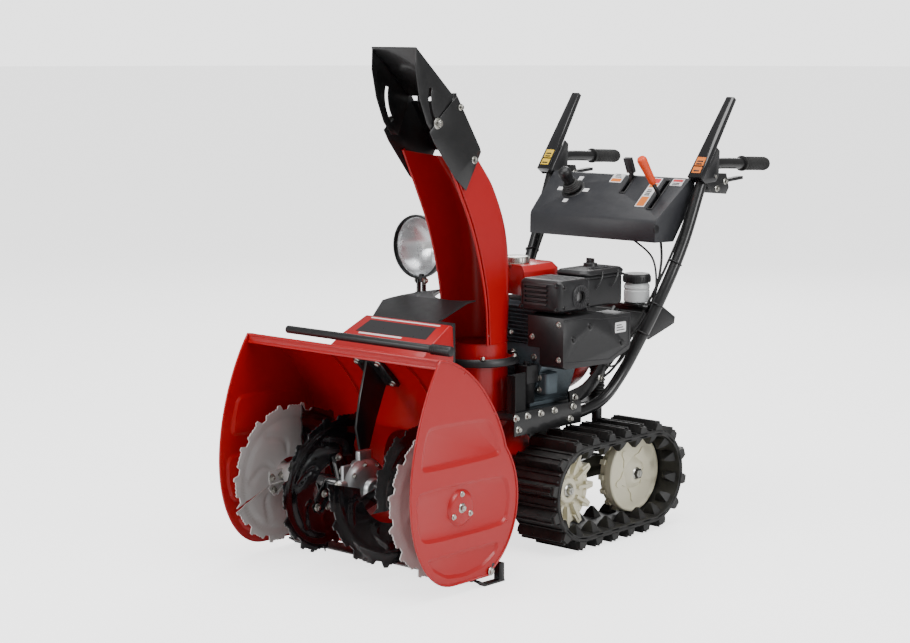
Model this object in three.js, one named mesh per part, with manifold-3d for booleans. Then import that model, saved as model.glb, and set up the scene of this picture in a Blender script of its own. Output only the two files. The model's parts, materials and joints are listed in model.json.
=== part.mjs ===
// Two-stage snowblower on rubber crawler tracks.
// Millimetres. +Z is up, -Y is the way it drives and +X is its left side. The origin is on the
// ground, in the middle of the machine's length and width.
import * as THREE from 'three';
import { mergeVertices } from 'three/addons/utils/BufferGeometryUtils.js';
import Module from 'manifold-3d';

const wasm = await Module();
wasm.setup();

// ---- Driving dimensions ----

const GAP = 0.4; // between neighbouring pieces
const PLATE = 3; // sheet steel
const MIDDLE_Y = 54; // from the drive axle's frame back to the middle of the length
const AUGER = { y: -481.5, z: 189.5, radius: 168.5, shaft: 16 };
const HOUSING = { inside: 297, half: 302.5, arc: 187, lipY: -551, lipTop: 522, lipDrop: 20, floor: 21 };
const BLOWER = { radius: 116, wall: 3, y: -92, back: -18, ductTop: 440, flange: 88 };
const CHUTE = { half: 72, topHalf: 65, sheet: 3, flange: 90, flangeZ: 440.4, collarTop: 482 };
const TRACK = {
  frontY: -2, rearY: 262, axleZ: 135, inside: 125, outside: 268,
  bandIn: 101, bandOut: 113, lugTip: 135, lugs: 20, wheel: 96,
};
const HANDLE = { radius: 14 };
const TOOL = { y: -522, z: 537, radius: 9 };
const CONSOLE = { half: 199, backHalf: 218, frontY: 340, backY: 465 };

// ---- Finishes ----

const finish = (color, roughness, metalness) => new THREE.MeshStandardMaterial({ color, roughness, metalness });
const RED = finish(0xc8101c, 0.28, 0.1);
const BLACK_PAINT = finish(0x141416, 0.4, 0.3);
const BLACK_PLASTIC = finish(0x1e1f21, 0.55, 0);
const CHARCOAL = finish(0x34353a, 0.5, 0);
const SILVER_PAINT = finish(0xb3aeaa, 0.4, 0.5);
const CAST = finish(0xa8abad, 0.45, 0.8);
const BLUE_GREY = finish(0x5d6b73, 0.5, 0.4);
const RUBBER = finish(0x161616, 0.85, 0);
const IVORY = finish(0xdcd8c4, 0.5, 0);
const ZINC = finish(0xc4c2ba, 0.35, 0.9);
const STEEL = finish(0x8a8c8e, 0.4, 0.9);
const LENS = finish(0xe8ecee, 0.1, 0.2);
const ORANGE = finish(0xf04a1c, 0.45, 0);
const MILKY = finish(0xe6e8e6, 0.5, 0);

// ---- Solids ----

/** A closed solid from a three.js geometry. */
function solidOf(geometry) {
  const bare = geometry.clone();
  bare.deleteAttribute('normal');
  bare.deleteAttribute('uv');
  const merged = mergeVertices(bare, 1e-3);
  const vertProperties = new Float32Array(merged.attributes.position.array);
  const triVerts = new Uint32Array(merged.index.array);
  return new wasm.Manifold(new wasm.Mesh({ numProp: 3, vertProperties, triVerts }));
}

/** A three.js geometry from a solid. */
function geometryOf(solid) {
  const mesh = solid.getMesh();
  const geometry = new THREE.BufferGeometry();
  geometry.setAttribute('position', new THREE.BufferAttribute(new Float32Array(mesh.vertProperties), 3));
  geometry.setIndex(new THREE.BufferAttribute(new Uint32Array(mesh.triVerts), 1));
  geometry.computeVertexNormals();
  return geometry;
}

const join = (first, ...rest) => rest.reduce((sum, next) => sum.add(next), first);
const cut = (first, ...rest) => rest.reduce((sum, next) => sum.subtract(next), first);

/** A block between two corners. */
function block([x0, y0, z0], [x1, y1, z1]) {
  const geometry = new THREE.BoxGeometry(x1 - x0, y1 - y0, z1 - z0);
  return solidOf(geometry.translate((x0 + x1) / 2, (y0 + y1) / 2, (z0 + z1) / 2));
}

const TURN = {
  x: new THREE.Matrix4().makeRotationZ(-Math.PI / 2),
  y: new THREE.Matrix4(),
  z: new THREE.Matrix4().makeRotationX(Math.PI / 2),
};

/** A round bar along an axis, from one end to the other, through a point; it may taper. */
function rod(axis, [x, y, z], from, to, radius, sides = 16, endRadius = radius) {
  const geometry = new THREE.CylinderGeometry(endRadius, radius, to - from, sides);
  geometry.rotateY(Math.PI / sides).applyMatrix4(TURN[axis]);
  const middle = (from + to) / 2;
  const at = { x: [middle, y, z], y: [x, middle, z], z: [x, y, middle] }[axis];
  return solidOf(geometry.translate(...at));
}

/** A round bar between any two points. */
function strut(start, end, radius, sides = 10) {
  const a = new THREE.Vector3(...start);
  const b = new THREE.Vector3(...end);
  const geometry = new THREE.CylinderGeometry(radius, radius, a.distanceTo(b), sides);
  const along = b.clone().sub(a).normalize();
  const turn = new THREE.Quaternion().setFromUnitVectors(new THREE.Vector3(0, 1, 0), along);
  geometry.applyQuaternion(turn);
  return solidOf(geometry.translate(...a.add(b).multiplyScalar(0.5)));
}

const ALONG = {
  x: (from) => new THREE.Matrix4().set(0, 0, 1, from, 1, 0, 0, 0, 0, 1, 0, 0, 0, 0, 0, 1),
  y: (from, to) => new THREE.Matrix4().set(1, 0, 0, 0, 0, 0, -1, to, 0, 1, 0, 0, 0, 0, 0, 1),
  z: (from) => new THREE.Matrix4().makeTranslation(0, 0, from),
};

/** An outline, as a shape or as corners, pushed along an axis. X outlines are (y, z), Y ones (x, z). */
function prism(axis, outline, from, to, curveSegments = 12) {
  const isShape = outline instanceof THREE.Path;
  const shape = isShape ? outline : new THREE.Shape(outline.map(([a, b]) => new THREE.Vector2(a, b)));
  const geometry = new THREE.ExtrudeGeometry(shape, { depth: to - from, bevelEnabled: false, curveSegments });
  return solidOf(geometry.applyMatrix4(ALONG[axis](from, to)));
}

/** A line of points moved sideways, to its left. */
function beside(points, distance) {
  return points.map((point, i) => {
    const before = points[Math.max(i - 1, 0)];
    const after = points[Math.min(i + 1, points.length - 1)];
    const along = after.clone().sub(before).normalize();
    return new THREE.Vector2(point.x - along.y * distance, point.y + along.x * distance);
  });
}

/** The closed outline of a sheet that follows a line of points, to the left of it. */
const sheetOutline = (points, thickness) => new THREE.Shape([...points, ...beside(points, thickness).reverse()]);

/** A round tube or bar along a smooth curve through points. */
function bentRod(points, radius, steps, sides = 10) {
  const path = new THREE.CatmullRomCurve3(points.map((p) => new THREE.Vector3(...p)), false, 'centripetal');
  const section = new THREE.Shape().absarc(0, 0, radius, 0, 2 * Math.PI);
  const options = { extrudePath: path, steps, curveSegments: sides / 2 };
  return solidOf(new THREE.ExtrudeGeometry(section, options));
}

/** A block divided into cells and bent: map takes three shares from 0 to 1 to a point. */
function bent(cellsU, cellsV, cellsW, map) {
  const geometry = new THREE.BoxGeometry(1, 1, 1, cellsU, cellsV, cellsW).translate(0.5, 0.5, 0.5);
  const place = geometry.attributes.position;
  for (let i = 0; i < place.count; i += 1) {
    place.setXYZ(i, ...map(place.getX(i), place.getY(i), place.getZ(i)));
  }
  const merged = mergeVertices(geometry.clone().deleteAttribute('normal').deleteAttribute('uv'), 1e-3);
  return solidOf(volumeOf(merged) < 0 ? turnedInsideOut(merged) : merged);
}

/** The signed volume inside an indexed geometry. */
function volumeOf(geometry) {
  const corner = [0, 1, 2].map(() => new THREE.Vector3());
  const index = geometry.index.array;
  let volume = 0;
  for (let i = 0; i < index.length; i += 3) {
    corner.forEach((point, k) => point.fromBufferAttribute(geometry.attributes.position, index[i + k]));
    volume += corner[0].dot(corner[1].clone().cross(corner[2])) / 6;
  }
  return volume;
}

/** The same geometry with each face turned over. */
function turnedInsideOut(geometry) {
  const index = Array.from(geometry.index.array);
  for (let i = 0; i < index.length; i += 3) {
    [index[i + 1], index[i + 2]] = [index[i + 2], index[i + 1]];
  }
  geometry.setIndex(index);
  return geometry;
}

/** The same solid on the other side of the machine's middle. */
function mirrored(solid) {
  const geometry = geometryOf(solid);
  geometry.scale(-1, 1, 1);
  return solidOf(turnedInsideOut(geometry));
}

/** The same solid turned about an axis through the origin, then moved. */
function moved(solid, rotation, position) {
  const geometry = geometryOf(solid);
  const turn = new THREE.Matrix4().makeRotationFromEuler(new THREE.Euler(...rotation));
  return solidOf(geometry.applyMatrix4(turn.setPosition(...position)));
}

/** A solid drawn in place, moved so that a point (y, z) of it is its own origin. */
const moveTo = (solid, [y, z]) => solid.translate([0, -y, -z]);

/** A moulded cover: a block whose upright corners and whose ends are rounded. */
function moulded([x0, y0, z0], [x1, y1, z1], corner, bevel) {
  const half = [(x1 - x0) / 2 - bevel, (y1 - y0) / 2 - bevel];
  const shape = new THREE.Shape();
  [[1, 1, 0], [-1, 1, 90], [-1, -1, 180], [1, -1, 270]].forEach(([sx, sy, start]) => {
    const from = THREE.MathUtils.degToRad(start);
    shape.absarc(sx * (half[0] - corner), sy * (half[1] - corner), corner, from, from + Math.PI / 2);
  });
  const geometry = new THREE.ExtrudeGeometry(shape, {
    depth: z1 - z0 - 2 * bevel, bevelThickness: bevel, bevelSize: bevel, bevelSegments: 1, curveSegments: 2,
  });
  return solidOf(geometry.translate((x0 + x1) / 2, (y0 + y1) / 2, z0 + bevel));
}

const machine = new THREE.Group();
machine.position.y = -MIDDLE_Y;

/** Adds a named piece; a piece made about its own origin is given its position. */
function add(name, solid, material, position = [0, 0, 0], group = machine) {
  const mesh = new THREE.Mesh(geometryOf(solid), material);
  mesh.name = name;
  mesh.position.set(...position);
  group.add(mesh);
}

/** Adds a left piece and its mirror image. */
function addPair(name, solid, material) {
  add(`${name}_left`, solid, material);
  add(`${name}_right`, mirrored(solid), material);
}

// ---- Auger housing ----

/** A point at an angle and radius from the auger shaft, as (y, z). */
const aroundAuger = (degrees, radius) => new THREE.Vector2(
  AUGER.y + radius * Math.cos(THREE.MathUtils.degToRad(degrees)),
  AUGER.z + radius * Math.sin(THREE.MathUtils.degToRad(degrees)),
);

/** The housing's back and top from its rear bottom corner to the lip, grown outwards. */
function wrapperLine(grow) {
  const radius = HOUSING.arc + grow;
  const arc = Array.from({ length: 9 }, (_, i) => aroundAuger(-60 + 12.3 * i, radius));
  const top = new THREE.CubicBezierCurve(
    aroundAuger(38.4, radius),
    new THREE.Vector2(-352 + grow, 380),
    new THREE.Vector2(-440, 510 + grow),
    new THREE.Vector2(HOUSING.lipY, HOUSING.lipTop + grow),
  );
  return [new THREE.Vector2(-388 + grow, HOUSING.floor - grow), ...arc, ...top.getPoints(6).slice(1)];
}

/** The egg-shaped outline of the housing's sides, as (y, z). */
function sideOutline(grow) {
  const rear = wrapperLine(grow);
  const front = new THREE.CubicBezierCurve(
    new THREE.Vector2(HOUSING.lipY, HOUSING.lipTop + grow),
    new THREE.Vector2(-612 - grow, 432),
    new THREE.Vector2(-645 - grow, 320),
    new THREE.Vector2(-645 - grow, 226),
  );
  const bottom = new THREE.CubicBezierCurve(
    new THREE.Vector2(-645 - grow, 226),
    new THREE.Vector2(-645 - grow, 110),
    new THREE.Vector2(-588, HOUSING.floor - grow),
    new THREE.Vector2(-508, HOUSING.floor - grow),
  );
  return [...rear, ...front.getPoints(6).slice(1), ...bottom.getPoints(6).slice(1)];
}

{
  const half = HOUSING.inside - GAP;
  const back = wrapperLine(-0.5);
  const lip = new THREE.Vector2(HOUSING.lipY - 1, HOUSING.lipTop - HOUSING.lipDrop);
  const wrapper = prism('x', sheetOutline([...back, lip], PLATE), -half, half);
  const throat = rod('y', [0, 0, AUGER.z], -360, -250, BLOWER.radius - 4, 32);
  const clips = [120, -120].map((x) => cut(
    block([x - 9, -536, 514], [x + 9, -508, 543]),
    rod('x', [0, TOOL.y, TOOL.z], x - 20, x + 20, TOOL.radius + GAP, 16),
  ));
  add('auger_housing', join(cut(wrapper, throat), ...clips), RED);

  const plate = new THREE.Shape(sideOutline(0));
  const hollow = new THREE.Shape(sideOutline(-5));
  const sheet = prism('x', plate, HOUSING.inside, HOUSING.inside + PLATE);
  const rim = cut(prism('x', plate, HOUSING.inside, HOUSING.half), prism('x', hollow, 200, 400));
  const beads = [[442, -572, -446], [375, -602, -378], [300, -622, -344], [88, -580, -372]].map(
    ([z, front, rear]) => prism(
      'x',
      [[front, z - 6], [front + 10, z - 16], [rear - 10, z - 16], [rear, z - 6], [rear, z + 6],
        [rear - 10, z + 16], [front + 10, z + 16], [front, z + 6]],
      HOUSING.inside + 1,
      400,
    ),
  );
  const bearing = join(
    rod('x', [0, AUGER.y, AUGER.z], 295, 306, 36, 24, 32),
    rod('x', [0, AUGER.y, AUGER.z], 305, 309, 9, 6),
    rod('x', [0, -388, 31], 296.9, 307, 7, 6),
  );
  addPair('side_panel', join(cut(join(sheet, rim), ...beads), bearing), RED);

  const blade = sheetOutline([new THREE.Vector2(-429, 10), new THREE.Vector2(-392, 17)], 4);
  add('scraper_blade', prism('x', blade, 1 - 284, 284 - 1), STEEL);

  const shoe = join(
    block([284, -357, 4], [301, -340, 42]),
    block([284, -408, 0], [HOUSING.half, -340, 5]),
    moved(block([284, -26, 0], [HOUSING.half, 0, 5]), [-0.5, 0, 0], [0, -405, 0.3]),
  );
  addPair('skid_shoe', shoe, BLACK_PAINT);
}

// ---- Blower casing with its discharge duct ----
{
  const drum = rod('y', [0, 0, AUGER.z], -380, BLOWER.back, BLOWER.radius + BLOWER.wall, 28);
  const hollow = rod('y', [0, 0, AUGER.z], -400, BLOWER.back - PLATE, BLOWER.radius, 28);
  const ductAt = [0, BLOWER.y, 0];
  const duct = rod('z', ductAt, AUGER.z, BLOWER.ductTop, CHUTE.half + 1.5, 24);
  const flange = rod('z', ductAt, BLOWER.ductTop - 4, BLOWER.ductTop, BLOWER.flange, 24);
  const bore = rod('z', ductAt, AUGER.z, BLOWER.ductTop + 10, CHUTE.half - 1.5, 24);
  const shaftHole = rod('y', [0, 0, AUGER.z], -60, 0, 14, 20);
  const housingSpace = prism('x', new THREE.Shape(sideOutline(GAP)), -200, 200);
  const casing = cut(join(drum, duct, flange), hollow, bore, shaftHole, housingSpace);
  add('blower_casing', casing, RED);
}

// ---- Augers, gearbox and impeller, all about the auger shaft ----

/** A toothed half-turn flight: its plane moves along X as it goes round. */
function flight({ startX, advance, startAngle, sweep, inner, teeth, thickness }) {
  const notch = [0, 0.12, 0.6, 0.72];
  const drop = [0, 0, 5, 11];
  const cells = teeth * 4;
  return bent(cells, 1, 1, (u, v, w) => {
    const step = Math.round(u * cells);
    const share = Math.min((Math.floor(step / 4) + notch[step % 4]) / teeth, 1);
    const angle = THREE.MathUtils.degToRad(startAngle + sweep * share);
    const outer = AUGER.radius - drop[step % 4];
    const radius = inner + (outer - inner) * v;
    const x = startX + advance * share + thickness * (w - 0.5);
    return [x, radius * Math.cos(angle), radius * Math.sin(angle)];
  });
}

/** A flat arm from the shaft out to a flight. */
function arm(x, degrees, length, width = 34) {
  const plate = block([x - 2.5, 0, -width / 2], [x + 2.5, length, width / 2]);
  return moved(plate, [THREE.MathUtils.degToRad(degrees), 0, 0], [0, 0, 0]);
}

/** An inner auger: two flights on a tube, the first starting at an angle. */
function innerAuger(startAngle) {
  const first = { startX: 52, advance: 70, startAngle, sweep: 195, inner: 66, teeth: 6, thickness: 4 };
  const second = { ...first, startX: 126, startAngle: startAngle + 180 };
  return join(
    rod('x', [0, 0, 0], 44, 209, AUGER.shaft, 16),
    flight(first),
    flight(second),
    ...[0.16, 0.8].flatMap((share) => [first, second].map(
      (one) => arm(one.startX + one.advance * share, one.startAngle + one.sweep * share, 78),
    )),
  );
}

/** An outer auger, wider and flatter than the inner one. */
function outerAuger(startAngle) {
  const first = { startX: 226, advance: 26, startAngle, sweep: 176, inner: 40, teeth: 7, thickness: 3.5 };
  const second = { ...first, startX: 256, startAngle: startAngle + 180 };
  return join(
    rod('x', [0, 0, 0], 210, 293, AUGER.shaft + 6, 16),
    flight(first),
    flight(second),
    ...[0.1, 0.9].flatMap((share) => [first, second].map(
      (one) => arm(one.startX + one.advance * share, one.startAngle + one.sweep * share, 60, 30),
    )),
  );
}

{
  const at = [0, AUGER.y, AUGER.z];
  add('inner_auger_left', innerAuger(165), BLACK_PAINT, at);
  add('inner_auger_right', mirrored(innerAuger(75)), BLACK_PAINT, at);
  add('outer_auger_left', outerAuger(90), SILVER_PAINT, at);
  add('outer_auger_right', mirrored(outerAuger(25)), SILVER_PAINT, at);

  const profile = [[0, -26], [50, -26], [66, -16], [70, 0], [66, 16], [50, 26], [0, 26]];
  const lens = new THREE.LatheGeometry(profile.map(([r, y]) => new THREE.Vector2(r, y)), 24);
  const gearbox = join(
    solidOf(lens.rotateZ(-Math.PI / 2)),
    rod('x', [0, 0, 0], -42, 42, 30, 20),
    rod('y', [0, 0, 0], 40, 88, 30, 20, 24),
    block([-7, -64, -62], [7, -40, 62]),
    rod('y', [0, 0, 16], -82, -40, 13, 12),
    block([-9, -16, 50], [9, 22, 88]),
  );
  add('auger_gearbox', gearbox, CAST, at);

  const blades = [45, 135, 225, 315].map(
    (degrees) => moved(block([-2.5, 0, 20], [2.5, 112, 110]), [0, THREE.MathUtils.degToRad(degrees), 0], [0, 0, 0]),
  );
  const impeller = join(
    rod('y', [0, 0, 0], AUGER.y + 89 - BLOWER.y, BLOWER.back + 4 - BLOWER.y, 11, 16),
    rod('y', [0, 0, 0], -64, 60, 26, 20),
    rod('y', [0, 0, 0], 52, 56, 108, 32),
    ...blades.map((blade) => blade.translate([0, -58, 0])),
  );
  add('impeller', impeller, RED, [0, BLOWER.y, AUGER.z]);
}

// The black plate that holds the gearbox from the top of the housing.
{
  const pad = moved(block([-42, -54, -13], [42, 38, 0]), [-0.8, 0, 0], [0, -424, 452]);
  const webOutline = [[-466, 484], [-404, 422], [-440, 340], [-462, 278.5], [-492, 278.5], [-504, 330], [-490, 400]];
  const web = prism('x', webOutline, -3, 3);
  const bolts = [[-28, -40], [28, -40], [-28, 24], [28, 24]].map(
    ([x, along]) => moved(rod('z', [x, along, 0], -17, -12, 7, 6), [-0.8, 0, 0], [0, -424, 452]),
  );
  const top = new THREE.Shape([...beside(wrapperLine(-0.5), PLATE + GAP), new THREE.Vector2(-620, 100)]);
  const room = prism('x', top, -100, 100);
  add('gearbox_stay', join(pad, web, ...bolts).intersect(room), BLACK_PAINT);
}

// ---- Chute and deflector ----

const CHUTE_BACK = [[-20, 482], [-21, 610], [-42, 745], [-92, 845], [-152, 920]];
const CHUTE_FRONT = [[-134, 482], [-141, 600], [-180, 745], [-226, 845], [-276, 940]];
const planeCurve = (points) => new THREE.SplineCurve(points.map(([y, z]) => new THREE.Vector2(y, z)));

/** A point of the chute's U section: share v goes round it, inset goes into the sheet. */
function roundU(v, half, depth, corner, inset) {
  const side = 0.22;
  const sign = v < 0.5 ? 1 : -1;
  const w = v < 0.5 ? v : 1 - v;
  const arc = corner - inset;
  if (w < side) {
    return [sign * (half - inset), corner + (depth - corner) * (1 - w / side)];
  }
  if (w < 0.46) {
    const angle = ((w - side) / (0.46 - side)) * (Math.PI / 2);
    return [sign * (half - corner + arc * Math.cos(angle)), corner - arc * Math.sin(angle)];
  }
  return [sign * (half - corner) * ((0.5 - w) / 0.04), inset];
}

{
  const back = planeCurve(CHUTE_BACK);
  const front = planeCurve(CHUTE_FRONT);
  const steps = 10;
  const vee = [0, 0.22, 0.28, 0.34, 0.4, 0.46, 0.54, 0.6, 0.66, 0.72, 0.78, 1];
  const channel = bent(steps, vee.length - 1, 1, (u, v, w) => {
    const rear = back.getPoint(u);
    const lead = front.getPoint(u).sub(rear);
    const half = THREE.MathUtils.lerp(CHUTE.half, CHUTE.topHalf, u);
    const corner = THREE.MathUtils.lerp(CHUTE.half, 22, Math.min(u * 1.25, 1));
    const share = vee[Math.round(v * (vee.length - 1))];
    const [x, depth] = roundU(share, half, lead.length(), corner, CHUTE.sheet * w);
    const at = rear.addScaledVector(lead.clone().normalize(), depth);
    return [x, at.x - BLOWER.y, at.y];
  });
  const collar = rod('z', [0, 0, 0], CHUTE.flangeZ, CHUTE.collarTop + 2, CHUTE.half, 24);
  const flange = rod('z', [0, 0, 0], CHUTE.flangeZ, CHUTE.flangeZ + 3, CHUTE.flange, 24);
  const bore = rod('z', [0, 0, 0], CHUTE.flangeZ - 10, CHUTE.collarTop + 10, CHUTE.half - CHUTE.sheet, 24);
  add('chute', join(channel, cut(join(collar, flange), bore)), RED, [0, BLOWER.y, 0]);

  const ring = rod('z', [0, BLOWER.y, 0], 432, 451, 99, 24);
  const seat = rod('z', [0, BLOWER.y, 0], 400, CHUTE.flangeZ + 3 + GAP, CHUTE.flange + 2.5, 24);
  const mouth = rod('z', [0, BLOWER.y, 0], 400, 500, CHUTE.half + 8, 24);
  const tabs = [20, 140, 260].map((degrees) => {
    const angle = THREE.MathUtils.degToRad(degrees);
    return rod('z', [95 * Math.cos(angle), BLOWER.y + 95 * Math.sin(angle), 0], 450, 458, 7, 6);
  });
  add('chute_ring', cut(join(ring, ...tabs), seat, mouth), BLACK_PLASTIC);
}

// The deflector: a lower piece hinged on the chute and an upper one hinged on the lower.
const LOWER_HINGE = [-147, 937];
const UPPER_HINGE = [-232, 1066];
{
  const half = CHUTE.topHalf + 5;
  const sidePlates = (outline, x) => [
    prism('x', outline, x, x + PLATE),
    prism('x', outline, -x - PLATE, -x),
  ];
  const lowerSide = [[-212, 849], [-160, 936], [-164, 946], [-242, 1066], [-292, 1026], [-334, 988], [-318, 962],
    [-250, 880]];
  const lowerBack = [[-168, 935], [-165, 938], [-234, 1044], [-237, 1042]];
  const ear = [[-226, 1026], [-221, 1030], [-226, 1072], [-238, 1072], [-238, 1042]];
  const lower = join(
    prism('x', lowerBack, -half - 2, half + 2),
    ...sidePlates(lowerSide, half),
    ...[52, -56].map((x) => prism('x', ear, x, x + 4)),
    rod('x', [0, ...LOWER_HINGE], -52, 52, 5, 10),
    block([-50, -168, 934], [50, -147, 938.5]),
    rod('x', [0, -308, 1006], half + 2, half + 12, 9, 10),
    rod('x', [0, -308, 1006], -half - 12, -half - 2, 9, 10),
  );
  add('deflector_lower', moveTo(lower, LOWER_HINGE), BLACK_PAINT, [0, ...LOWER_HINGE]);

  const upperHalf = half - PLATE - 1;
  const upperSide = [[-374, 1177], [-250, 1066], [-258, 1048], [-290, 975], [-312, 976], [-338, 1006],
    [-362, 1062], [-376, 1126]];
  const slot = new THREE.Shape();
  slot.absarc(...UPPER_HINGE, 102, THREE.MathUtils.degToRad(168), THREE.MathUtils.degToRad(218));
  slot.absarc(...UPPER_HINGE, 92, THREE.MathUtils.degToRad(218), THREE.MathUtils.degToRad(168), true);
  const upper = cut(
    join(
      prism('x', [[-374, 1177], [-251, 1066], [-254, 1063], [-377, 1174]], -upperHalf - 2, upperHalf + 2),
      ...sidePlates(upperSide, upperHalf),
      rod('x', [0, ...UPPER_HINGE], -50, 50, 4.5, 10),
      block([-48, -256, 1063.5], [48, -232, 1066]),
    ),
    prism('x', slot, -200, 200),
  );
  add('deflector_upper', moveTo(upper, UPPER_HINGE), BLACK_PAINT, [0, ...UPPER_HINGE]);
}

// The electric drive that turns the chute, and the plates that carry it.
{
  const drive = join(
    block([70, -36, 382], [108, 8, 426]),
    rod('z', [89, -14, 0], 334, 384, 19, 16),
    rod('z', [94, -20, 0], 425, 434, 8, 12),
  );
  const clear = rod('z', [0, BLOWER.y, 0], 300, 431.6, CHUTE.half + 2, 32);
  const flangeRoom = rod('z', [0, BLOWER.y, 0], 431, 460, 99 + GAP, 36);
  add('chute_drive', cut(drive, clear, flangeRoom), BLACK_PLASTIC);
}

// ---- Covers ahead of the engine ----
{
  const room = prism('x', new THREE.Shape(sideOutline(GAP)), -310, 310);
  const side = [[-457, 484], [-404, 521], [-333, 557], [-322, 553], [-318, 500], [-322, 440], [-380, 420]];
  const wedge = prism('x', side, -150, 150);
  const taper = prism('z', [[-150, -470], [150, -470], [128, -300], [-128, -300]], 380, 600);
  add('sign_cover', wedge.intersect(taper).subtract(room), RED);

  const arch = new THREE.Shape();
  arch.moveTo(-228, 430);
  arch.bezierCurveTo(-236, 570, -190, 606, 0, 602);
  arch.bezierCurveTo(130, 601, 176, 560, 182, 430);
  const narrowed = (wall) => prism(
    'z',
    [[wall - 128, wall - 316], [118 - wall, wall - 316], [118 - wall, -30], [wall - 232, -30], [wall - 232, -130]],
    380,
    700,
  ).intersect(prism(
    'x',
    [[wall - 316, 400], [wall - 316, 552 - wall], [-200, 590 - wall], [-30, 606 - wall], [-30, 400]],
    -300,
    300,
  ));
  const outer = prism('y', arch, -316, -40, 10).intersect(narrowed(0));
  const archIn = new THREE.Shape();
  archIn.moveTo(-224.5, 420);
  archIn.bezierCurveTo(-232, 566, -188, 602, 0, 598.5);
  archIn.bezierCurveTo(128, 597.5, 172, 556, 178.5, 420);
  const inner = prism('y', archIn, -312.5, -30, 10).intersect(narrowed(3.5));
  const sweep = rod('z', [0, BLOWER.y, 0], 459, 700, 104, 36);
  const notch = block([-104, BLOWER.y, 459], [104, 0, 700]);
  const cutBelow = rod('z', [0, BLOWER.y, 0], 300, 460, 101, 36);
  const besideChute = block([66, -300, 300], [300, 0, 700]);
  const cover = cut(outer, inner, sweep, notch, cutBelow, room, besideChute);
  add('belt_cover', cover, BLACK_PLASTIC);
}

// ---- Headlight, tilting on its post ----
{
  const pivot = [-213, -56, 606];
  const post = join(
    block([-226, -66, 510], [-198, -46, 578]),
    block([-224, -62, 570], [-219, -50, 609]),
    block([-207, -62, 570], [-202, -50, 609]),
  );
  const arch = new THREE.Shape();
  arch.moveTo(-300, 400);
  arch.lineTo(-228.5, 430);
  arch.bezierCurveTo(-236.5, 570.6, -190, 606.6, 0, 602.6);
  arch.lineTo(0, 400);
  add('headlight_post', cut(post, prism('y', arch, -300, 0, 10)), BLACK_PAINT);

  const head = new THREE.Group();
  head.position.set(...pivot);
  machine.add(head);
  const profile = [[0, 46], [50, 34], [73, -4], [73, -14], [77.5, -14], [77.5, -2], [72, 8], [56, 40], [30, 58], [0, 62]];
  const bowl = new THREE.LatheGeometry(profile.map(([r, y]) => new THREE.Vector2(r, y)), 32);
  const neck = block([-5.6, -4, -6], [5.6, 6, 12]);
  const centre = [-12, 10, 82];
  const shell = solidOf(bowl.translate(...centre));
  const glassRoom = rod('y', [centre[0], 0, centre[2]], -20, 10, 73, 32);
  add('headlight_bowl', join(shell, cut(neck, glassRoom)), BLACK_PLASTIC, [0, 0, 0], head);
  const lens = rod('y', [0, 0, 0], -11, -7, 72.4, 32);
  add('headlight_lens', lens.translate(centre), LENS, [0, 0, 0], head);
}

// ---- Frame ----
{
  const base = prism('z', [[-176, -165], [176, -165], [176, 81], [146, 81], [146, 226], [-146, 226], [-146, 81],
    [-176, 81]], 318, 322);
  const flanges = [-1, 1].map((side) => block(
    [side > 0 ? 176 : -180, -165, 284],
    [side > 0 ? 180 : -176, 81, 338],
  ));
  const duct = rod('z', [0, BLOWER.y, 0], 300, 340, CHUTE.half + 2.5, 32);
  const support = join(block([104, -104, 320], [108, -40, 412]), block([104, -104, 320], [130, -100, 412]));
  const brace = new THREE.CatmullRomCurve3([[0, 84, 320], [0, 150, 334], [0, 215, 380], [0, 262, 450],
    [0, 300, 520]].map((p) => new THREE.Vector3(...p)));
  const plate = sheetOutline(brace.getPoints(12).map((p) => new THREE.Vector2(p.y, p.z)), 34);
  const inner = join(support, prism('x', plate, 139, 145));
  const gearcase = join(
    block([-80, -12, 100], [80, 112, 190]),
    block([-60, 0, 188], [60, 100, 319]),
    rod('x', [0, TRACK.frontY, TRACK.axleZ], -96, 96, 10, 20),
  );
  add('main_frame', join(cut(join(base, ...flanges), duct), gearcase, inner, mirrored(inner)), BLACK_PAINT);

  const tube = [[160, 20, 303], [162, 90, 303], [168, 180, 326], [178, 238, 380], [193, 283, 450],
    [222, 350, 579], [234, 412, 694], [239, 470, 825], [241, 486, 858], [241, 505, 876], [241, 530, 882],
    [241, 645.5, 878]];
  const bracket = cut(
    prism('x', [[478, 856], [500, 862], [560, 858], [572, 822], [560, 806], [500, 812], [476, 836]], 226, 256),
    prism('x', [[400, 700], [600, 700], [600, 851], [500, 846], [486, 840]], 229, 253),
  );
  addPair('handle_tube', join(bentRod(tube, HANDLE.radius, 24), bracket), BLACK_PAINT);

  const cross = join(
    rod('x', [0, 325, 534], -197, 197, 11, 16),
    strut([95, 325, 534], [95, 254, 462], 9),
    rod('x', [0, 250, 456], 84, 106, 12, 16),
    rod('z', [95, 250, 0], 300, 456, 6, 12),
    block([118, 300, 540], [182, 338, 546]),
    rod('z', [150, 335, 0], 536, 547, 20, 16),
  );
  const tubeRoom = bentRod(tube, HANDLE.radius + 2, 24);
  add('handle_crossbar', cut(cross, tubeRoom, mirrored(tubeRoom)), BLACK_PAINT);

  const tray = prism('x', [[356, 462], [424, 538], [499, 493], [495, 476], [389, 446]], -150, 150);
  const well = prism('x', [[368, 464], [425, 528], [486, 491], [391, 455]], -145, 145);
  const mouth = prism('x', [[380, 475], [424, 545], [480, 510], [470, 495]], -120, 120);
  add('rear_box', cut(tray, well, mouth), BLACK_PLASTIC);
}

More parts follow.
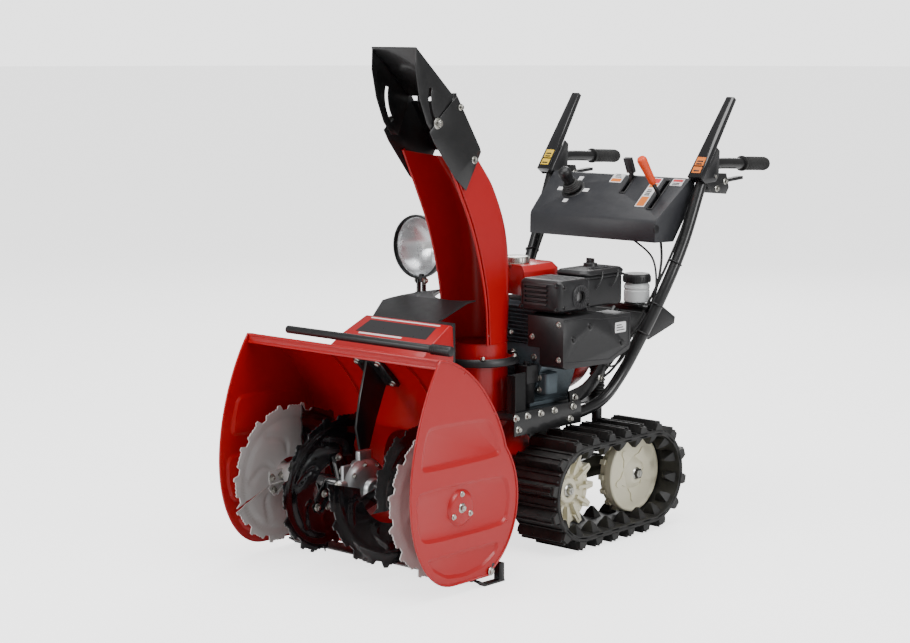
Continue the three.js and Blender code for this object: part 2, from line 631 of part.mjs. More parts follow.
// ---- Engine ----
{
  const crankcase = join(
    block([-96, -10, 322.4], [96, 148, 332]),
    prism('y', [[-90, 330], [84, 330], [118, 430], [118, 470], [-96, 470], [-96, 400]], 12, 148),
    block([-60, 20, 468], [84, 136, 570]),
  );
  add('engine_block', join(crankcase, moulded([80, 14, 350], [128, 60, 404], 6, 3)), BLUE_GREY);
  const shroud = join(
    rod('y', [0, 0, 450], 148.4, 214, 122, 28),
    rod('y', [0, 0, 450], 213, 229, 92, 24, 74),
    moulded([-62, 226, 500], [-36, 244, 552], 5, 3),
  );
  add('fan_shroud', shroud, RED);

  const tank = moulded([-172, -40, 584], [66, 158, 656], 30, 14);
  const sweep = rod('z', [0, BLOWER.y, 0], 500, 700, 116, 36);
  add('fuel_tank', cut(tank, sweep), RED);
  add('fuel_cap', rod('z', [0, 0, 0], 0, 17, 33, 24, 30), ZINC, [-6, 58, 656.4]);

  const cover = cut(
    moulded([90, -46, 560], [216, 68, 636], 8, 7),
    rod('x', [0, 30, 594], 206, 230, 15, 20),
    ...[0, 1, 2, 3].map((row) => block([108, -60, 582 + 11 * row], [176, -41, 587 + 11 * row])),
    ...[0, 1, 2, 3, 4, 5, 6].map((row) => block([104 + 15 * row, -20, 631], [110 + 15 * row, 46, 650])),
    rod('z', [0, BLOWER.y, 0], 500, 700, 106, 36),
  );
  add('muffler_cover', cover, BLACK_PLASTIC);
  const lower = [[-46, 436], [-36, 430], [133, 426], [206, 452], [212, 462], [211, 540], [112, 540], [100, 551],
    [-46, 551]];
  const lowerCover = join(
    prism('x', lower, 155, 226),
    block([119, -46, 476], [156, 130, 551]),
    ...[[-8, 497], [54, 522], [176, 470]].map(([y, z]) => rod('x', [0, y, z], 225, 231, 7, 6)),
  );
  add('engine_side_cover', cut(lowerCover, rod('z', [0, BLOWER.y, 0], 400, 700, 106, 36)), BLACK_PLASTIC);
  add('air_cleaner_body', moulded([102, 72, 560], [196, 226, 630], 16, 4), BLACK_PLASTIC);
  const lid = join(
    moulded([98, 70, 630.4], [199, 230, 648], 16, 7),
    rod('z', [132, 172, 0], 646, 656, 17, 16),
    rod('z', [132, 172, 0], 654, 664, 6, 12),
    block([120, 170, 656], [144, 174, 668]),
  );
  add('air_cleaner_lid', lid, BLACK_PLASTIC);

  add('reservoir', rod('z', [0, 0, 0], 0, 49, 32, 28), MILKY, [150, 335, 547.4]);
  add('reservoir_cap', rod('z', [0, 0, 0], 0, 22, 35, 20), BLACK_PLASTIC, [150, 335, 596.8]);
}

// ---- Tracks ----

/** A place on a track's loop at a radius, a share of the way round, and the way it faces. */
function loopPlace(share, radius) {
  const straight = TRACK.rearY - TRACK.frontY;
  const bend = Math.PI * TRACK.bandOut;
  let way = share * 2 * (straight + bend);
  if (way < straight) {
    return { y: TRACK.frontY + way, z: TRACK.axleZ + radius, facing: Math.PI / 2 };
  }
  way -= straight;
  if (way < bend) {
    const facing = Math.PI / 2 - way / TRACK.bandOut;
    return { y: TRACK.rearY + radius * Math.cos(facing), z: TRACK.axleZ + radius * Math.sin(facing), facing };
  }
  way -= bend;
  if (way < straight) {
    return { y: TRACK.rearY - way, z: TRACK.axleZ - radius, facing: -Math.PI / 2 };
  }
  way -= straight;
  const facing = -Math.PI / 2 - way / TRACK.bandOut;
  return { y: TRACK.frontY + radius * Math.cos(facing), z: TRACK.axleZ + radius * Math.sin(facing), facing };
}

/** The stadium outline of a track's band at a radius. */
function loopShape(radius, Kind = THREE.Shape) {
  const shape = new Kind();
  shape.absarc(TRACK.rearY, TRACK.axleZ, radius, -Math.PI / 2, Math.PI / 2);
  shape.absarc(TRACK.frontY, TRACK.axleZ, radius, Math.PI / 2, 1.5 * Math.PI);
  return shape;
}

{
  const band = loopShape(TRACK.bandOut);
  band.holes.push(loopShape(TRACK.bandIn, THREE.Path));
  const grip = TRACK.lugTip - TRACK.bandOut;
  const lugs = Array.from({ length: TRACK.lugs }, (_, i) => {
    const { y, z, facing } = loopPlace((i + 0.5) / TRACK.lugs, TRACK.bandOut - 1);
    const lug = prism('x', [[0, -15], [grip + 1, -9], [grip + 1, 9], [0, 15]], TRACK.inside, TRACK.outside);
    return moved(lug, [facing, 0, 0], [0, y, z]);
  });
  addPair('track', join(prism('x', band, TRACK.inside, TRACK.outside), ...lugs), RUBBER);

  const wheelAt = (y) => [0, y, TRACK.axleZ];
  const fingers = Array.from({ length: 12 }, (_, i) => moved(
    prism('x', [[66, -16], [TRACK.wheel, -9], [TRACK.wheel, 9], [66, 16]], 168, 208),
    [(i * Math.PI) / 6, 0, 0],
    [0, 0, 0],
  ));
  const hubHole = rod('x', [0, 0, 0], 60, 202, 9.4, 16);
  const sprocket = join(
    cut(join(rod('x', [0, 0, 0], 182, 200, 74, 24), rod('x', [0, 0, 0], 168, 211, 30, 24), ...fingers), hubHole),
    rod('x', [0, 0, 0], 98, 204, 9.2, 16),
    rod('x', [0, 0, 0], 210, 218, 11, 6),
  );
  const idler = cut(
    join(
      rod('x', [0, 0, 0], 184, 199, TRACK.wheel - 2, 28),
      cut(rod('x', [0, 0, 0], 150, 206, TRACK.wheel, 28), rod('x', [0, 0, 0], 140, 220, TRACK.wheel - 8, 28)),
      rod('x', [0, 0, 0], 160, 211, 24, 20),
    ),
    rod('x', [0, 0, 0], 100, 240, 10.4, 16),
  );
  [['left', 1], ['right', -1]].forEach(([name, side]) => {
    const mirror = (solid) => (side > 0 ? solid : mirrored(solid));
    add(`drive_sprocket_${name}`, mirror(sprocket), IVORY, wheelAt(TRACK.frontY));
    add(`idler_wheel_${name}`, mirror(idler), IVORY, wheelAt(TRACK.rearY));
  });

  const beam = [[12, 120], [300, 120], [300, 156], [226, 172], [12, 152]];
  const beams = [-1, 1].map((side) => prism('x', beam, side > 0 ? 104 : -112, side > 0 ? 112 : -104));
  const axleSpan = [-1, 1].flatMap((side) => {
    const [near, far] = side > 0 ? [104, 212] : [-212, -104];
    const [bolt, end] = side > 0 ? [211, 220] : [-220, -211];
    return [
      rod('x', [0, TRACK.rearY, TRACK.axleZ], near, far, 10, 16),
      rod('x', [0, TRACK.rearY, TRACK.axleZ], bolt, end, 13, 6),
    ];
  });
  const trackFrame = join(
    ...beams,
    rod('x', [0, 250, 160], -104.5, 104.5, 12, 16),
    ...axleSpan,
  );
  add('track_frame', trackFrame, BLACK_PAINT);
  const cylinder = cut(
    join(rod('z', [0, 0, 0], 182, 290, 13, 14), block([-7, -10, 177], [7, 10, 186])),
    rod('z', [0, 0, 0], 192, 300, 9.5, 14),
  );
  add('lift_cylinder', cylinder, BLACK_PAINT, [95, 250, 0]);
  const boot = cut(rod('z', [0, 0, 0], 292, 440, 17, 14), rod('z', [0, 0, 0], 280, 450, 14.5, 14));
  add('lift_boot', boot, RUBBER, [95, 250, 0]);
}

// ---- Handlebar, console and controls ----

/** The same solid with its width changed by a factor that depends on y. */
function tapered(solid, factor) {
  const geometry = geometryOf(solid);
  const place = geometry.attributes.position;
  for (let i = 0; i < place.count; i += 1) {
    place.setX(i, place.getX(i) * factor(place.getY(i)));
  }
  return solidOf(geometry);
}

{
  const slope = Math.atan2(848 - 749, CONSOLE.backY - CONSOLE.frontY - 1);
  const widen = (y) => 1 + ((y - CONSOLE.frontY) / 125) * (CONSOLE.backHalf / CONSOLE.half - 1);
  const side = [[340, 696], [341, 742], [345, 752], [459, 846], [465, 848], [476, 842], [474, 800], [404, 695]];
  const inside = [[344, 690], [345, 741], [349, 750], [460, 842], [470, 838], [466, 795], [400, 690]];
  const shell = cut(
    tapered(prism('x', side, -CONSOLE.half, CONSOLE.half), widen),
    tapered(prism('x', inside, -CONSOLE.half + 4, CONSOLE.half - 4), widen),
  );
  const tube = [[222, 350, 579], [234, 412, 694], [239, 470, 825], [241, 500, 880]];
  const tubeRoom = bentRod(tube, HANDLE.radius + 1, 16);
  const panel = new THREE.Group();
  panel.position.set(0, 341, 749);
  panel.rotation.x = slope;
  machine.add(panel);
  const onPanel = (solid) => moved(solid, [slope, 0, 0], [0, 341, 749]);
  const slots = [
    block([36, 92, -30], [48, 152, 30]),
    block([151, 42, -30], [163, 142, 30]),
    rod('z', [-115, 92, 0], -30, 30, 20, 20),
  ].map(onPanel);
  add('console', cut(shell, tubeRoom, mirrored(tubeRoom), ...slots), CHARCOAL);

  const knob = new THREE.LatheGeometry([[0, 8], [7, 8], [9, 34], [16, 42], [19, 54], [15, 66], [0, 70]].map(
    ([r, z]) => new THREE.Vector2(r, z),
  ), 20);
  knob.rotateX(Math.PI / 2);
  const stick = join(solidOf(knob), rod('z', [0, 0, 0], -12, 10, 5, 12));
  add('joystick', stick, BLACK_PLASTIC, [-115, 92, 0], panel);
  const boot = cut(
    rod('z', [0, 0, 0], -8, 4, 16, 20),
    rod('z', [0, 0, 0], -20, 20, 11, 16),
  );
  add('joystick_gimbal', boot, RUBBER, [-115, 92, 0], panel);

  const throttle = join(
    block([-4, -5, -8], [4, 5, 62]),
    moved(block([-11, -5, 0], [11, 6, 40]), [0.35, 0, 0], [0, 0, 56]),
  );
  const back = THREE.MathUtils.degToRad(-35);
  add('throttle_lever', moved(throttle, [back, 0, 0], [0, 0, 0]), BLACK_PLASTIC, [42, 120, -30], panel);
  const shift = join(
    strut([0, 0, -6], [0, 0, 89], 5, 8),
    rod('z', [0, 0, 0], 83, 165, 9, 12, 12.5),
  );
  add('shift_lever', shift, ORANGE, [157, 92, -42], panel);

  const gripPath = [[241, 646, 878], [241, 700, 875.5], [241, 757, 872]];
  addPair('grip', bentRod(gripPath, 17, 3, 12), RUBBER);

  const clutchPivot = [507, 853];
  const ears = [
    prism('x', [[-10, -8], [8, -10], [60, 24], [60, 40], [-38, 40], [-38, 26]], 257, 260.5),
    prism('x', [[-10, -8], [8, -10], [60, 24], [60, 40], [-38, 40], [-38, 26]], 221.5, 225),
  ];
  const paddle = bent(1, 1, 1, (u, v, w) => {
    const width = THREE.MathUtils.lerp(19.5, 11.5, v);
    const deep = THREE.MathUtils.lerp(8, 6, v);
    return [241 + 6 * v + (u - 0.5) * 2 * width, THREE.MathUtils.lerp(-38, 202, v), 46 + (w - 0.5) * 2 * deep];
  });
  const lever = join(paddle, ...ears, rod('x', [0, 0, 0], 220, 225.2, 7, 8), rod('x', [0, 0, 0], 256.8, 262, 7, 8));
  const clutch = moved(lever, [THREE.MathUtils.degToRad(54), 0, 0], [0, 0, 0]);
  add('clutch_lever_left', clutch, BLACK_PAINT, [0, ...clutchPivot]);
  add('clutch_lever_right', mirrored(clutch), BLACK_PAINT, [0, ...clutchPivot]);

  const trigger = join(
    rod('x', [241, 0, 0], 231, 251, 6, 12),
    block([236, -4, -3], [246, 8, 3]),
    moved(block([232, 0, -4], [250, 82, 4]), [0.06, 0, 0], [0, 4, 0]),
  );
  add('steering_lever_left', trigger, BLACK_PLASTIC, [0, 556, 838]);
  add('steering_lever_right', mirrored(trigger), BLACK_PLASTIC, [0, 556, 838]);

  const tool = join(
    rod('x', [0, TOOL.y, TOOL.z], -197, 250, TOOL.radius, 14),
    rod('x', [0, TOOL.y, TOOL.z], 248, 308, TOOL.radius + 2, 14),
  );
  add('clean_out_tool', tool, BLACK_PLASTIC);
}

export default machine;
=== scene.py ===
"""A two-stage snowblower on rubber crawler tracks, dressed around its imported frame.

Shapes are drawn in millimetres in the maker's own frame, where +Y runs from the augers to the
handlebar, the drive axle is near y = 0 and the ground is z = 0.
"""

import json
import logging
import math
from dataclasses import dataclass, field
from enum import Enum
from typing import Callable, Sequence

import bmesh
import bpy
from mathutils import Matrix, Vector

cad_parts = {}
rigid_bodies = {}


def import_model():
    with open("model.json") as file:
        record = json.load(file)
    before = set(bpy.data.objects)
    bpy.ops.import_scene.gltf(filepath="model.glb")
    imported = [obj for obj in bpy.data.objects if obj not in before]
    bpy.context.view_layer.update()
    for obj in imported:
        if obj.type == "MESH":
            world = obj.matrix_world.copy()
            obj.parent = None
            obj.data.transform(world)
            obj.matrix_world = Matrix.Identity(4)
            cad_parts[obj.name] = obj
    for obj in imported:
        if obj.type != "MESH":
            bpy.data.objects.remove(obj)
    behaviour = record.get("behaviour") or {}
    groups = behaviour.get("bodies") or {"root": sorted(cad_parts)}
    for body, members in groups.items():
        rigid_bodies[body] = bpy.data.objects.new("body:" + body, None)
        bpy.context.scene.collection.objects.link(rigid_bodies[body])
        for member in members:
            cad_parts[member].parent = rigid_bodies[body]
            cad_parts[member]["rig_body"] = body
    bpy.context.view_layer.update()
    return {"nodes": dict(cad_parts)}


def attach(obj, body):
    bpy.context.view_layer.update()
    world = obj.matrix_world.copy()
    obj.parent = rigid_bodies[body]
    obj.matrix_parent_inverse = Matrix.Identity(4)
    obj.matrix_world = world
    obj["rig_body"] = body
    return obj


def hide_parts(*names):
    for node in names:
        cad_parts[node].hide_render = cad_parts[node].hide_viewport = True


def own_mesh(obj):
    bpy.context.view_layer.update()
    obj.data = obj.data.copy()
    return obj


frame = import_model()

Point = Sequence[float]
Pair = tuple[float, float]
Colour = tuple[float, float, float]

MM = 0.001
MIDDLE_Y = 54.0
SHARP_ANGLE = 34.0
HOME = Matrix.Scale(MM, 4) @ Matrix.Translation((0.0, -MIDDLE_Y, 0.0))
SIDES = {"left": 1, "right": -1}

logging.basicConfig(level=logging.INFO, format="%(message)s")
log = logging.getLogger("snowblower")


# ---- Curves ----


def arc(centre: Pair, radius: float, start: float, end: float, steps: int) -> list[Pair]:
    """Points on a round stretch.

    Args:
        centre: the middle of the circle.
        radius: its radius.
        start: the first angle in degrees.
        end: the last angle in degrees.
        steps: how many spans it is divided into.

    Returns:
        steps + 1 points, both ends included.
    """
    angles = [math.radians(start + (end - start) * i / steps) for i in range(steps + 1)]
    return [(centre[0] + radius * math.cos(a), centre[1] + radius * math.sin(a)) for a in angles]


def bezier(a: Point, b: Point, c: Point, d: Point, steps: int) -> list[Pair]:
    """Points on a cubic curve from a to d that leaves towards b and arrives from c."""
    out = []
    for i in range(steps + 1):
        t = i / steps
        weights = ((1 - t) ** 3, 3 * t * (1 - t) ** 2, 3 * t * t * (1 - t), t**3)
        out.append(tuple(sum(w * p[k] for w, p in zip(weights, (a, b, c, d))) for k in range(2)))
    return out


def through(points: Sequence[Point], steps: int) -> list[Vector]:
    """A smooth line through points, with a number of spans between each two.

    Args:
        points: the places it passes.
        steps: spans between neighbouring places.

    Returns:
        The points of the line.
    """
    knots = [Vector(p) for p in points]
    ring = [knots[0] * 2 - knots[1], *knots, knots[-1] * 2 - knots[-2]]
    line = []
    for p0, p1, p2, p3 in zip(ring, ring[1:], ring[2:], ring[3:]):
        t01, t12, t23 = ((b - a).length ** 0.5 for a, b in ((p0, p1), (p1, p2), (p2, p3)))
        leave = p2 - p1 + t12 * ((p1 - p0) / t01 - (p2 - p0) / (t01 + t12))
        arrive = p2 - p1 + t12 * ((p3 - p2) / t23 - (p3 - p1) / (t12 + t23))
        cubic = 2 * (p1 - p2) + leave + arrive
        square = -3 * (p1 - p2) - 2 * leave - arrive
        line += [cubic * t**3 + square * t**2 + leave * t + p1 for t in (i / steps for i in range(steps))]
    return [*line, knots[-1]]


def inset(outline: Sequence[Pair], distance: float) -> list[Pair]:
    """An outline drawn again, a distance to the left of its way round."""
    out = []
    for i, (x, y) in enumerate(outline):
        before, after = outline[i - 1], outline[(i + 1) % len(outline)]
        along = Vector((after[0] - before[0], after[1] - before[1])).normalized()
        out.append((x - along.y * distance, y + along.x * distance))
    return out


def rounded(low: Pair, high: Pair, corner: float, steps: int = 5) -> list[Pair]:
    """A rectangle with round corners, anticlockwise."""
    turns = (
        ((high[0] - corner, high[1] - corner), 0), ((low[0] + corner, high[1] - corner), 90),
        ((low[0] + corner, low[1] + corner), 180), ((high[0] - corner, low[1] + corner), 270),
    )
    return [p for middle, start in turns for p in arc(middle, corner, start, start + 90, steps)]


def lift(axis: str, flat: Pair, along: float) -> Vector:
    """A point of a flat drawing at a place along an axis. X drawings are (y, z) and Y ones (x, z)."""
    a, b = flat
    return Vector({"x": (along, a, b), "y": (a, along, b), "z": (a, b, along)}[axis])


# ---- Shader node groups that several finishes share ----


class Nodes:
    """A node tree with short ways to add and join nodes."""

    def __init__(self, tree: bpy.types.NodeTree) -> None:
        """Starts on an empty tree."""
        self.tree = tree

    def add(self, kind: str, **settings: object) -> bpy.types.Node:
        """Adds a node and sets its properties."""
        node = self.tree.nodes.new(kind)
        for name, value in settings.items():
            setattr(node, name, value)
        return node

    def join(self, source: bpy.types.NodeSocket, target: bpy.types.NodeSocket) -> None:
        """Links an output to an input."""
        self.tree.links.new(source, target)

    def feed(self, node: bpy.types.Node, **values: object) -> bpy.types.Node:
        """Sets or links inputs by name, with _ for spaces."""
        for name, value in values.items():
            socket = node.inputs[name.replace("_", " ")]
            if isinstance(value, bpy.types.NodeSocket):
                self.join(value, socket)
            else:
                socket.default_value = value
        return node

    def maths(self, operation: str, *values: object) -> bpy.types.NodeSocket:
        """One arithmetic step."""
        node = self.add("ShaderNodeMath", operation=operation)
        for socket, value in zip(node.inputs, values):
            if isinstance(value, bpy.types.NodeSocket):
                self.join(value, socket)
            else:
                socket.default_value = value
        return node.outputs[0]

    def blend(self, share: object, first: object, second: object) -> bpy.types.NodeSocket:
        """Mixes two colours."""
        node = self.add("ShaderNodeMix", data_type="RGBA")
        for index, value in ((0, share), (6, first), (7, second)):
            if isinstance(value, bpy.types.NodeSocket):
                self.join(value, node.inputs[index])
            else:
                node.inputs[index].default_value = value
        return node.outputs[2]

    def span(self, value: bpy.types.NodeSocket, low: float, high: float) -> bpy.types.NodeSocket:
        """Stretches low to high into 0 to 1, softly and clamped."""
        node = self.add("ShaderNodeMapRange", interpolation_type="SMOOTHSTEP")
        self.feed(node, Value=value, From_Min=low, From_Max=high)
        return node.outputs[0]


def shader_group(name: str, inputs: dict[str, str], outputs: dict[str, str]) -> tuple:
    """Starts a shader node group.

    Args:
        name: the group's name.
        inputs: socket names and kinds.
        outputs: socket names and kinds.

    Returns:
        Its Nodes, its input node and its output node.
    """
    tree = bpy.data.node_groups.new(name, "ShaderNodeTree")
    for sockets, way in ((inputs, "INPUT"), (outputs, "OUTPUT")):
        for label, kind in sockets.items():
            tree.interface.new_socket(name=label, in_out=way, socket_type=f"NodeSocket{kind}")
    nodes = Nodes(tree)
    return nodes, nodes.add("NodeGroupInput"), nodes.add("NodeGroupOutput")


def mottle_group() -> bpy.types.NodeTree:
    """Slow changes of shade and gloss, as on any handled or sprayed surface."""
    nodes, source, sink = shader_group(
        "Mottle",
        {"Colour": "Color", "Tint": "Color", "Scale": "Float", "Amount": "Float"},
        {"Colour": "Color", "Gloss": "Float"},
    )
    place = nodes.add("ShaderNodeTexCoord").outputs["Object"]
    broad = nodes.add("ShaderNodeTexNoise")
    nodes.feed(broad, Vector=place, Scale=source.outputs["Scale"], Detail=6.0, Roughness=0.62)
    share = nodes.maths("MULTIPLY", nodes.span(broad.outputs[0], 0.35, 0.72), source.outputs["Amount"])
    nodes.join(nodes.blend(share, source.outputs["Colour"], source.outputs["Tint"]), sink.inputs["Colour"])
    fine = nodes.add("ShaderNodeTexNoise")
    nodes.feed(fine, Vector=place, Scale=nodes.maths("MULTIPLY", source.outputs["Scale"], 7.0), Detail=4.0)
    swing = nodes.maths("SUBTRACT", fine.outputs[0], 0.5)
    nodes.join(nodes.maths("MULTIPLY", swing, source.outputs["Amount"]), sink.inputs["Gloss"])
    return nodes.tree


def grain_group() -> bpy.types.NodeTree:
    """The fine height of a surface: pebbles for plastics and castings, ripple for paint."""
    nodes, source, sink = shader_group(
        "Grain", {"Scale": "Float", "Pebble": "Float", "Stretch": "Vector"}, {"Height": "Float"}
    )
    place = nodes.add("ShaderNodeTexCoord").outputs["Object"]
    spread = nodes.add("ShaderNodeVectorMath", operation="MULTIPLY")
    nodes.join(place, spread.inputs[0])
    nodes.join(source.outputs["Stretch"], spread.inputs[1])
    ripple = nodes.add("ShaderNodeTexNoise")
    nodes.feed(ripple, Vector=spread.outputs[0], Scale=source.outputs["Scale"], Detail=3.0, Roughness=0.5)
    cells = nodes.add("ShaderNodeTexVoronoi", feature="SMOOTH_F1")
    nodes.feed(cells, Vector=spread.outputs[0], Scale=source.outputs["Scale"], Smoothness=0.6)
    blend = nodes.add("ShaderNodeMix")
    nodes.join(source.outputs["Pebble"], blend.inputs[0])
    nodes.join(ripple.outputs[0], blend.inputs[2])
    nodes.join(cells.outputs[0], blend.inputs[3])
    nodes.join(blend.outputs[0], sink.inputs["Height"])
    return nodes.tree


def wear_group() -> bpy.types.NodeTree:
    """A coating rubbed thin along edges."""
    nodes, source, sink = shader_group(
        "Edge wear",
        {"Colour": "Color", "Bare": "Color", "Amount": "Float"},
        {"Colour": "Color", "Mask": "Float"},
    )
    edge = nodes.span(nodes.add("ShaderNodeNewGeometry").outputs["Pointiness"], 0.56, 0.68)
    chips = nodes.add("ShaderNodeTexNoise")
    place = nodes.add("ShaderNodeTexCoord").outputs["Object"]
    nodes.feed(chips, Vector=place, Scale=160.0, Detail=5.0, Roughness=0.7)
    broken = nodes.span(chips.outputs[0], 0.42, 0.62)
    mask = nodes.maths("MULTIPLY", nodes.maths("MULTIPLY", edge, broken), source.outputs["Amount"])
    nodes.join(mask, sink.inputs["Mask"])
    nodes.join(nodes.blend(mask, source.outputs["Colour"], source.outputs["Bare"]), sink.inputs["Colour"])
    return nodes.tree


def dust_group() -> bpy.types.NodeTree:
    """A thin film of dust on what faces up."""
    nodes, source, sink = shader_group(
        "Dust", {"Colour": "Color", "Film": "Color", "Amount": "Float"}, {"Colour": "Color", "Mask": "Float"}
    )
    facing = nodes.add("ShaderNodeSeparateXYZ")
    nodes.join(nodes.add("ShaderNodeNewGeometry").outputs["Normal"], facing.inputs[0])
    drift = nodes.add("ShaderNodeTexNoise")
    place = nodes.add("ShaderNodeTexCoord").outputs["Object"]
    nodes.feed(drift, Vector=place, Scale=34.0, Detail=7.0, Roughness=0.7)
    upward = nodes.maths("MULTIPLY_ADD", nodes.span(facing.outputs[2], -0.2, 1.0), 0.7, 0.3)
    share = nodes.maths("MULTIPLY", upward, nodes.span(drift.outputs[0], 0.3, 0.75))
    mask = nodes.maths("MULTIPLY", share, source.outputs["Amount"])
    nodes.join(mask, sink.inputs["Mask"])
    nodes.join(nodes.blend(mask, source.outputs["Colour"], source.outputs["Film"]), sink.inputs["Colour"])
    return nodes.tree


GROUPS = {
    "mottle": mottle_group(), "grain": grain_group(), "wear": wear_group(), "dust": dust_group(),
}


class Texture(Enum):
    """What the finest level of a surface looks like: scale, pebble share, height and stretch."""

    SPRAYED = (420.0, 0.0, 0.05, (1.0, 1.0, 1.0))
    MOULDED = (1500.0, 0.8, 0.16, (1.0, 1.0, 1.0))
    CAST = (620.0, 0.7, 0.35, (1.0, 1.0, 1.0))
    BRUSHED = (300.0, 0.1, 0.08, (1.0, 9.0, 9.0))
    RUBBER = (900.0, 0.35, 0.3, (1.0, 1.0, 1.0))
    SMOOTH = (200.0, 0.0, 0.01, (1.0, 1.0, 1.0))


@dataclass(frozen=True)
class Finish:
    """How a material looks: colour, gloss, texture, shading, rubbed edges and dust."""

    name: str
    slot_shade: str
    colour: Colour
    roughness: float
    texture: Texture
    metallic: float = 0.0
    coat: float = 0.0
    tint: Colour | None = None
    mottle: float = 0.25
    mottle_scale: float = 9.0
    bare: Colour = (0.35, 0.35, 0.36)
    wear: float = 0.0
    dust: float = 0.0
    transmission: float = 0.0
    glow: float = 0.0

    def material(self) -> bpy.types.Material:
        """The finish as a material, made once."""
        found = bpy.data.materials.get(self.name)
        if found:
            return found
        made = bpy.data.materials.new(self.name)
        made.use_nodes = True
        made.diffuse_color = (*self.colour, 1.0)
        nodes = Nodes(made.node_tree)
        shader = made.node_tree.nodes["Principled BSDF"]
        tint = self.tint or tuple(0.72 * c for c in self.colour)
        mottle = nodes.add("ShaderNodeGroup", node_tree=GROUPS["mottle"])
        nodes.feed(mottle, Colour=(*self.colour, 1.0), Tint=(*tint, 1.0), Scale=self.mottle_scale)
        nodes.feed(mottle, Amount=self.mottle)
        colour = mottle.outputs["Colour"]
        rough = nodes.maths("MULTIPLY_ADD", mottle.outputs["Gloss"], 0.5, self.roughness)
        for key, amount, second, socket in (
            ("wear", self.wear, self.bare, "Bare"), ("dust", self.dust, (0.3, 0.29, 0.27), "Film"),
        ):
            if amount:
                layer = nodes.add("ShaderNodeGroup", node_tree=GROUPS[key])
                nodes.feed(layer, Colour=colour, Amount=amount, **{socket: (*second, 1.0)})
                colour = layer.outputs["Colour"]
                rough = nodes.maths("MULTIPLY_ADD", layer.outputs["Mask"], 0.25, rough)
        scale, pebble, depth, stretch = self.texture.value
        grain = nodes.add("ShaderNodeGroup", node_tree=GROUPS["grain"])
        nodes.feed(grain, Scale=scale, Pebble=pebble, Stretch=stretch)
        bump = nodes.add("ShaderNodeBump")
        nodes.feed(bump, Strength=depth, Distance=0.0006, Height=grain.outputs["Height"])
        nodes.feed(shader, Base_Color=colour, Roughness=rough, Normal=bump.outputs[0])
        nodes.feed(shader, Metallic=self.metallic, Coat_Weight=self.coat, Coat_Roughness=0.06)
        nodes.feed(shader, Transmission_Weight=self.transmission)
        if self.glow:
            nodes.feed(shader, Emission_Color=(*self.colour, 1.0), Emission_Strength=self.glow)
        return made


RED = Finish(
    "red_enamel", "red_paint", (0.41, 0.0002, 0.0018), 0.36, Texture.SPRAYED, coat=0.22,
    tint=(0.35, 0.0002, 0.0015), mottle=0.2,
)
BLACK = Finish(
    "satin_black_paint", "black_paint", (0.006, 0.006, 0.0065), 0.32, Texture.SPRAYED, coat=0.3,
    tint=(0.012, 0.012, 0.013), dust=0.02,
)
GLOSS_BLACK = Finish(
    "gloss_black_enamel", "black_paint", (0.004, 0.004, 0.005), 0.16, Texture.SPRAYED, coat=0.9,
    tint=(0.02, 0.02, 0.022), wear=0.2, bare=(0.1, 0.1, 0.1),
)
PLASTIC = Finish(
    "black_moulding", "black_plastic", (0.008, 0.008, 0.009), 0.4, Texture.MOULDED,
    tint=(0.016, 0.016, 0.018), dust=0.03,
)
CHARCOAL = Finish(
    "charcoal_moulding", "charcoal_plastic", (0.02, 0.021, 0.025), 0.42, Texture.MOULDED,
    tint=(0.032, 0.033, 0.038), dust=0.04,
)
SILVER = Finish(
    "warm_silver_paint", "silver_paint", (0.56, 0.54, 0.53), 0.36, Texture.SPRAYED, metallic=0.25,
    coat=0.3, tint=(0.47, 0.45, 0.44),
)
CAST = Finish(
    "cast_alloy", "cast_alloy", (0.58, 0.59, 0.6), 0.36, Texture.CAST, metallic=0.85,
    tint=(0.4, 0.41, 0.42), mottle=0.4, mottle_scale=20.0,
)
ENGINE = Finish(
    "engine_casting", "engine_alloy", (0.115, 0.15, 0.17), 0.46, Texture.CAST, metallic=0.4,
    tint=(0.08, 0.1, 0.12), mottle=0.5, mottle_scale=24.0,
)
RUBBER = Finish(
    "track_rubber", "rubber", (0.008, 0.008, 0.008), 0.5, Texture.RUBBER, tint=(0.018, 0.018, 0.017),
    mottle=0.5, mottle_scale=30.0, dust=0.1,
)
GRIP = Finish("grip_rubber", "rubber", (0.012, 0.012, 0.012), 0.6, Texture.RUBBER, dust=0.05)
IVORY = Finish(
    "ivory_nylon", "ivory_plastic", (0.74, 0.7, 0.53), 0.42, Texture.MOULDED, tint=(0.66, 0.61, 0.44),
    mottle=0.3, mottle_scale=14.0, dust=0.08,
)
ZINC = Finish(
    "zinc_plating", "zinc_steel", (0.5, 0.49, 0.45), 0.3, Texture.BRUSHED, metallic=1.0,
    tint=(0.5, 0.5, 0.46), mottle=0.6, mottle_scale=60.0,
)
STEEL = Finish(
    "worn_steel", "bare_steel", (0.3, 0.3, 0.3), 0.4, Texture.BRUSHED, metallic=1.0,
    tint=(0.16, 0.15, 0.15), mottle=0.7, mottle_scale=40.0,
)
MIRROR = Finish("lamp_reflector", "zinc_steel", (0.9, 0.91, 0.92), 0.28, Texture.SMOOTH, metallic=1.0)
BULB = Finish("lamp_bulb", "lamp_glass", (0.95, 0.95, 0.92), 0.1, Texture.SMOOTH, glow=0.25)
GLASS = Finish(
    "lamp_lens", "lamp_glass", (0.96, 0.97, 0.98), 0.05, Texture.SMOOTH, transmission=0.95, mottle=0.02
)
ORANGE = Finish("orange_grip", "orange_plastic", (0.85, 0.075, 0.012), 0.38, Texture.MOULDED)
MILKY = Finish(
    "milky_bottle", "milky_plastic", (0.72, 0.74, 0.74), 0.34, Texture.SMOOTH, transmission=0.25
)
# Black film: printed marks, and painted shade where slots open.
PRINT_AND_SHADE_INK = Finish("print_and_painted_shade_film", "black_plastic", (0.02, 0.018, 0.02), 0.3, Texture.SMOOTH, coat=0.4)
WHITE_FILM = Finish("white_film", "milky_plastic", (0.78, 0.78, 0.78), 0.4, Texture.SMOOTH)
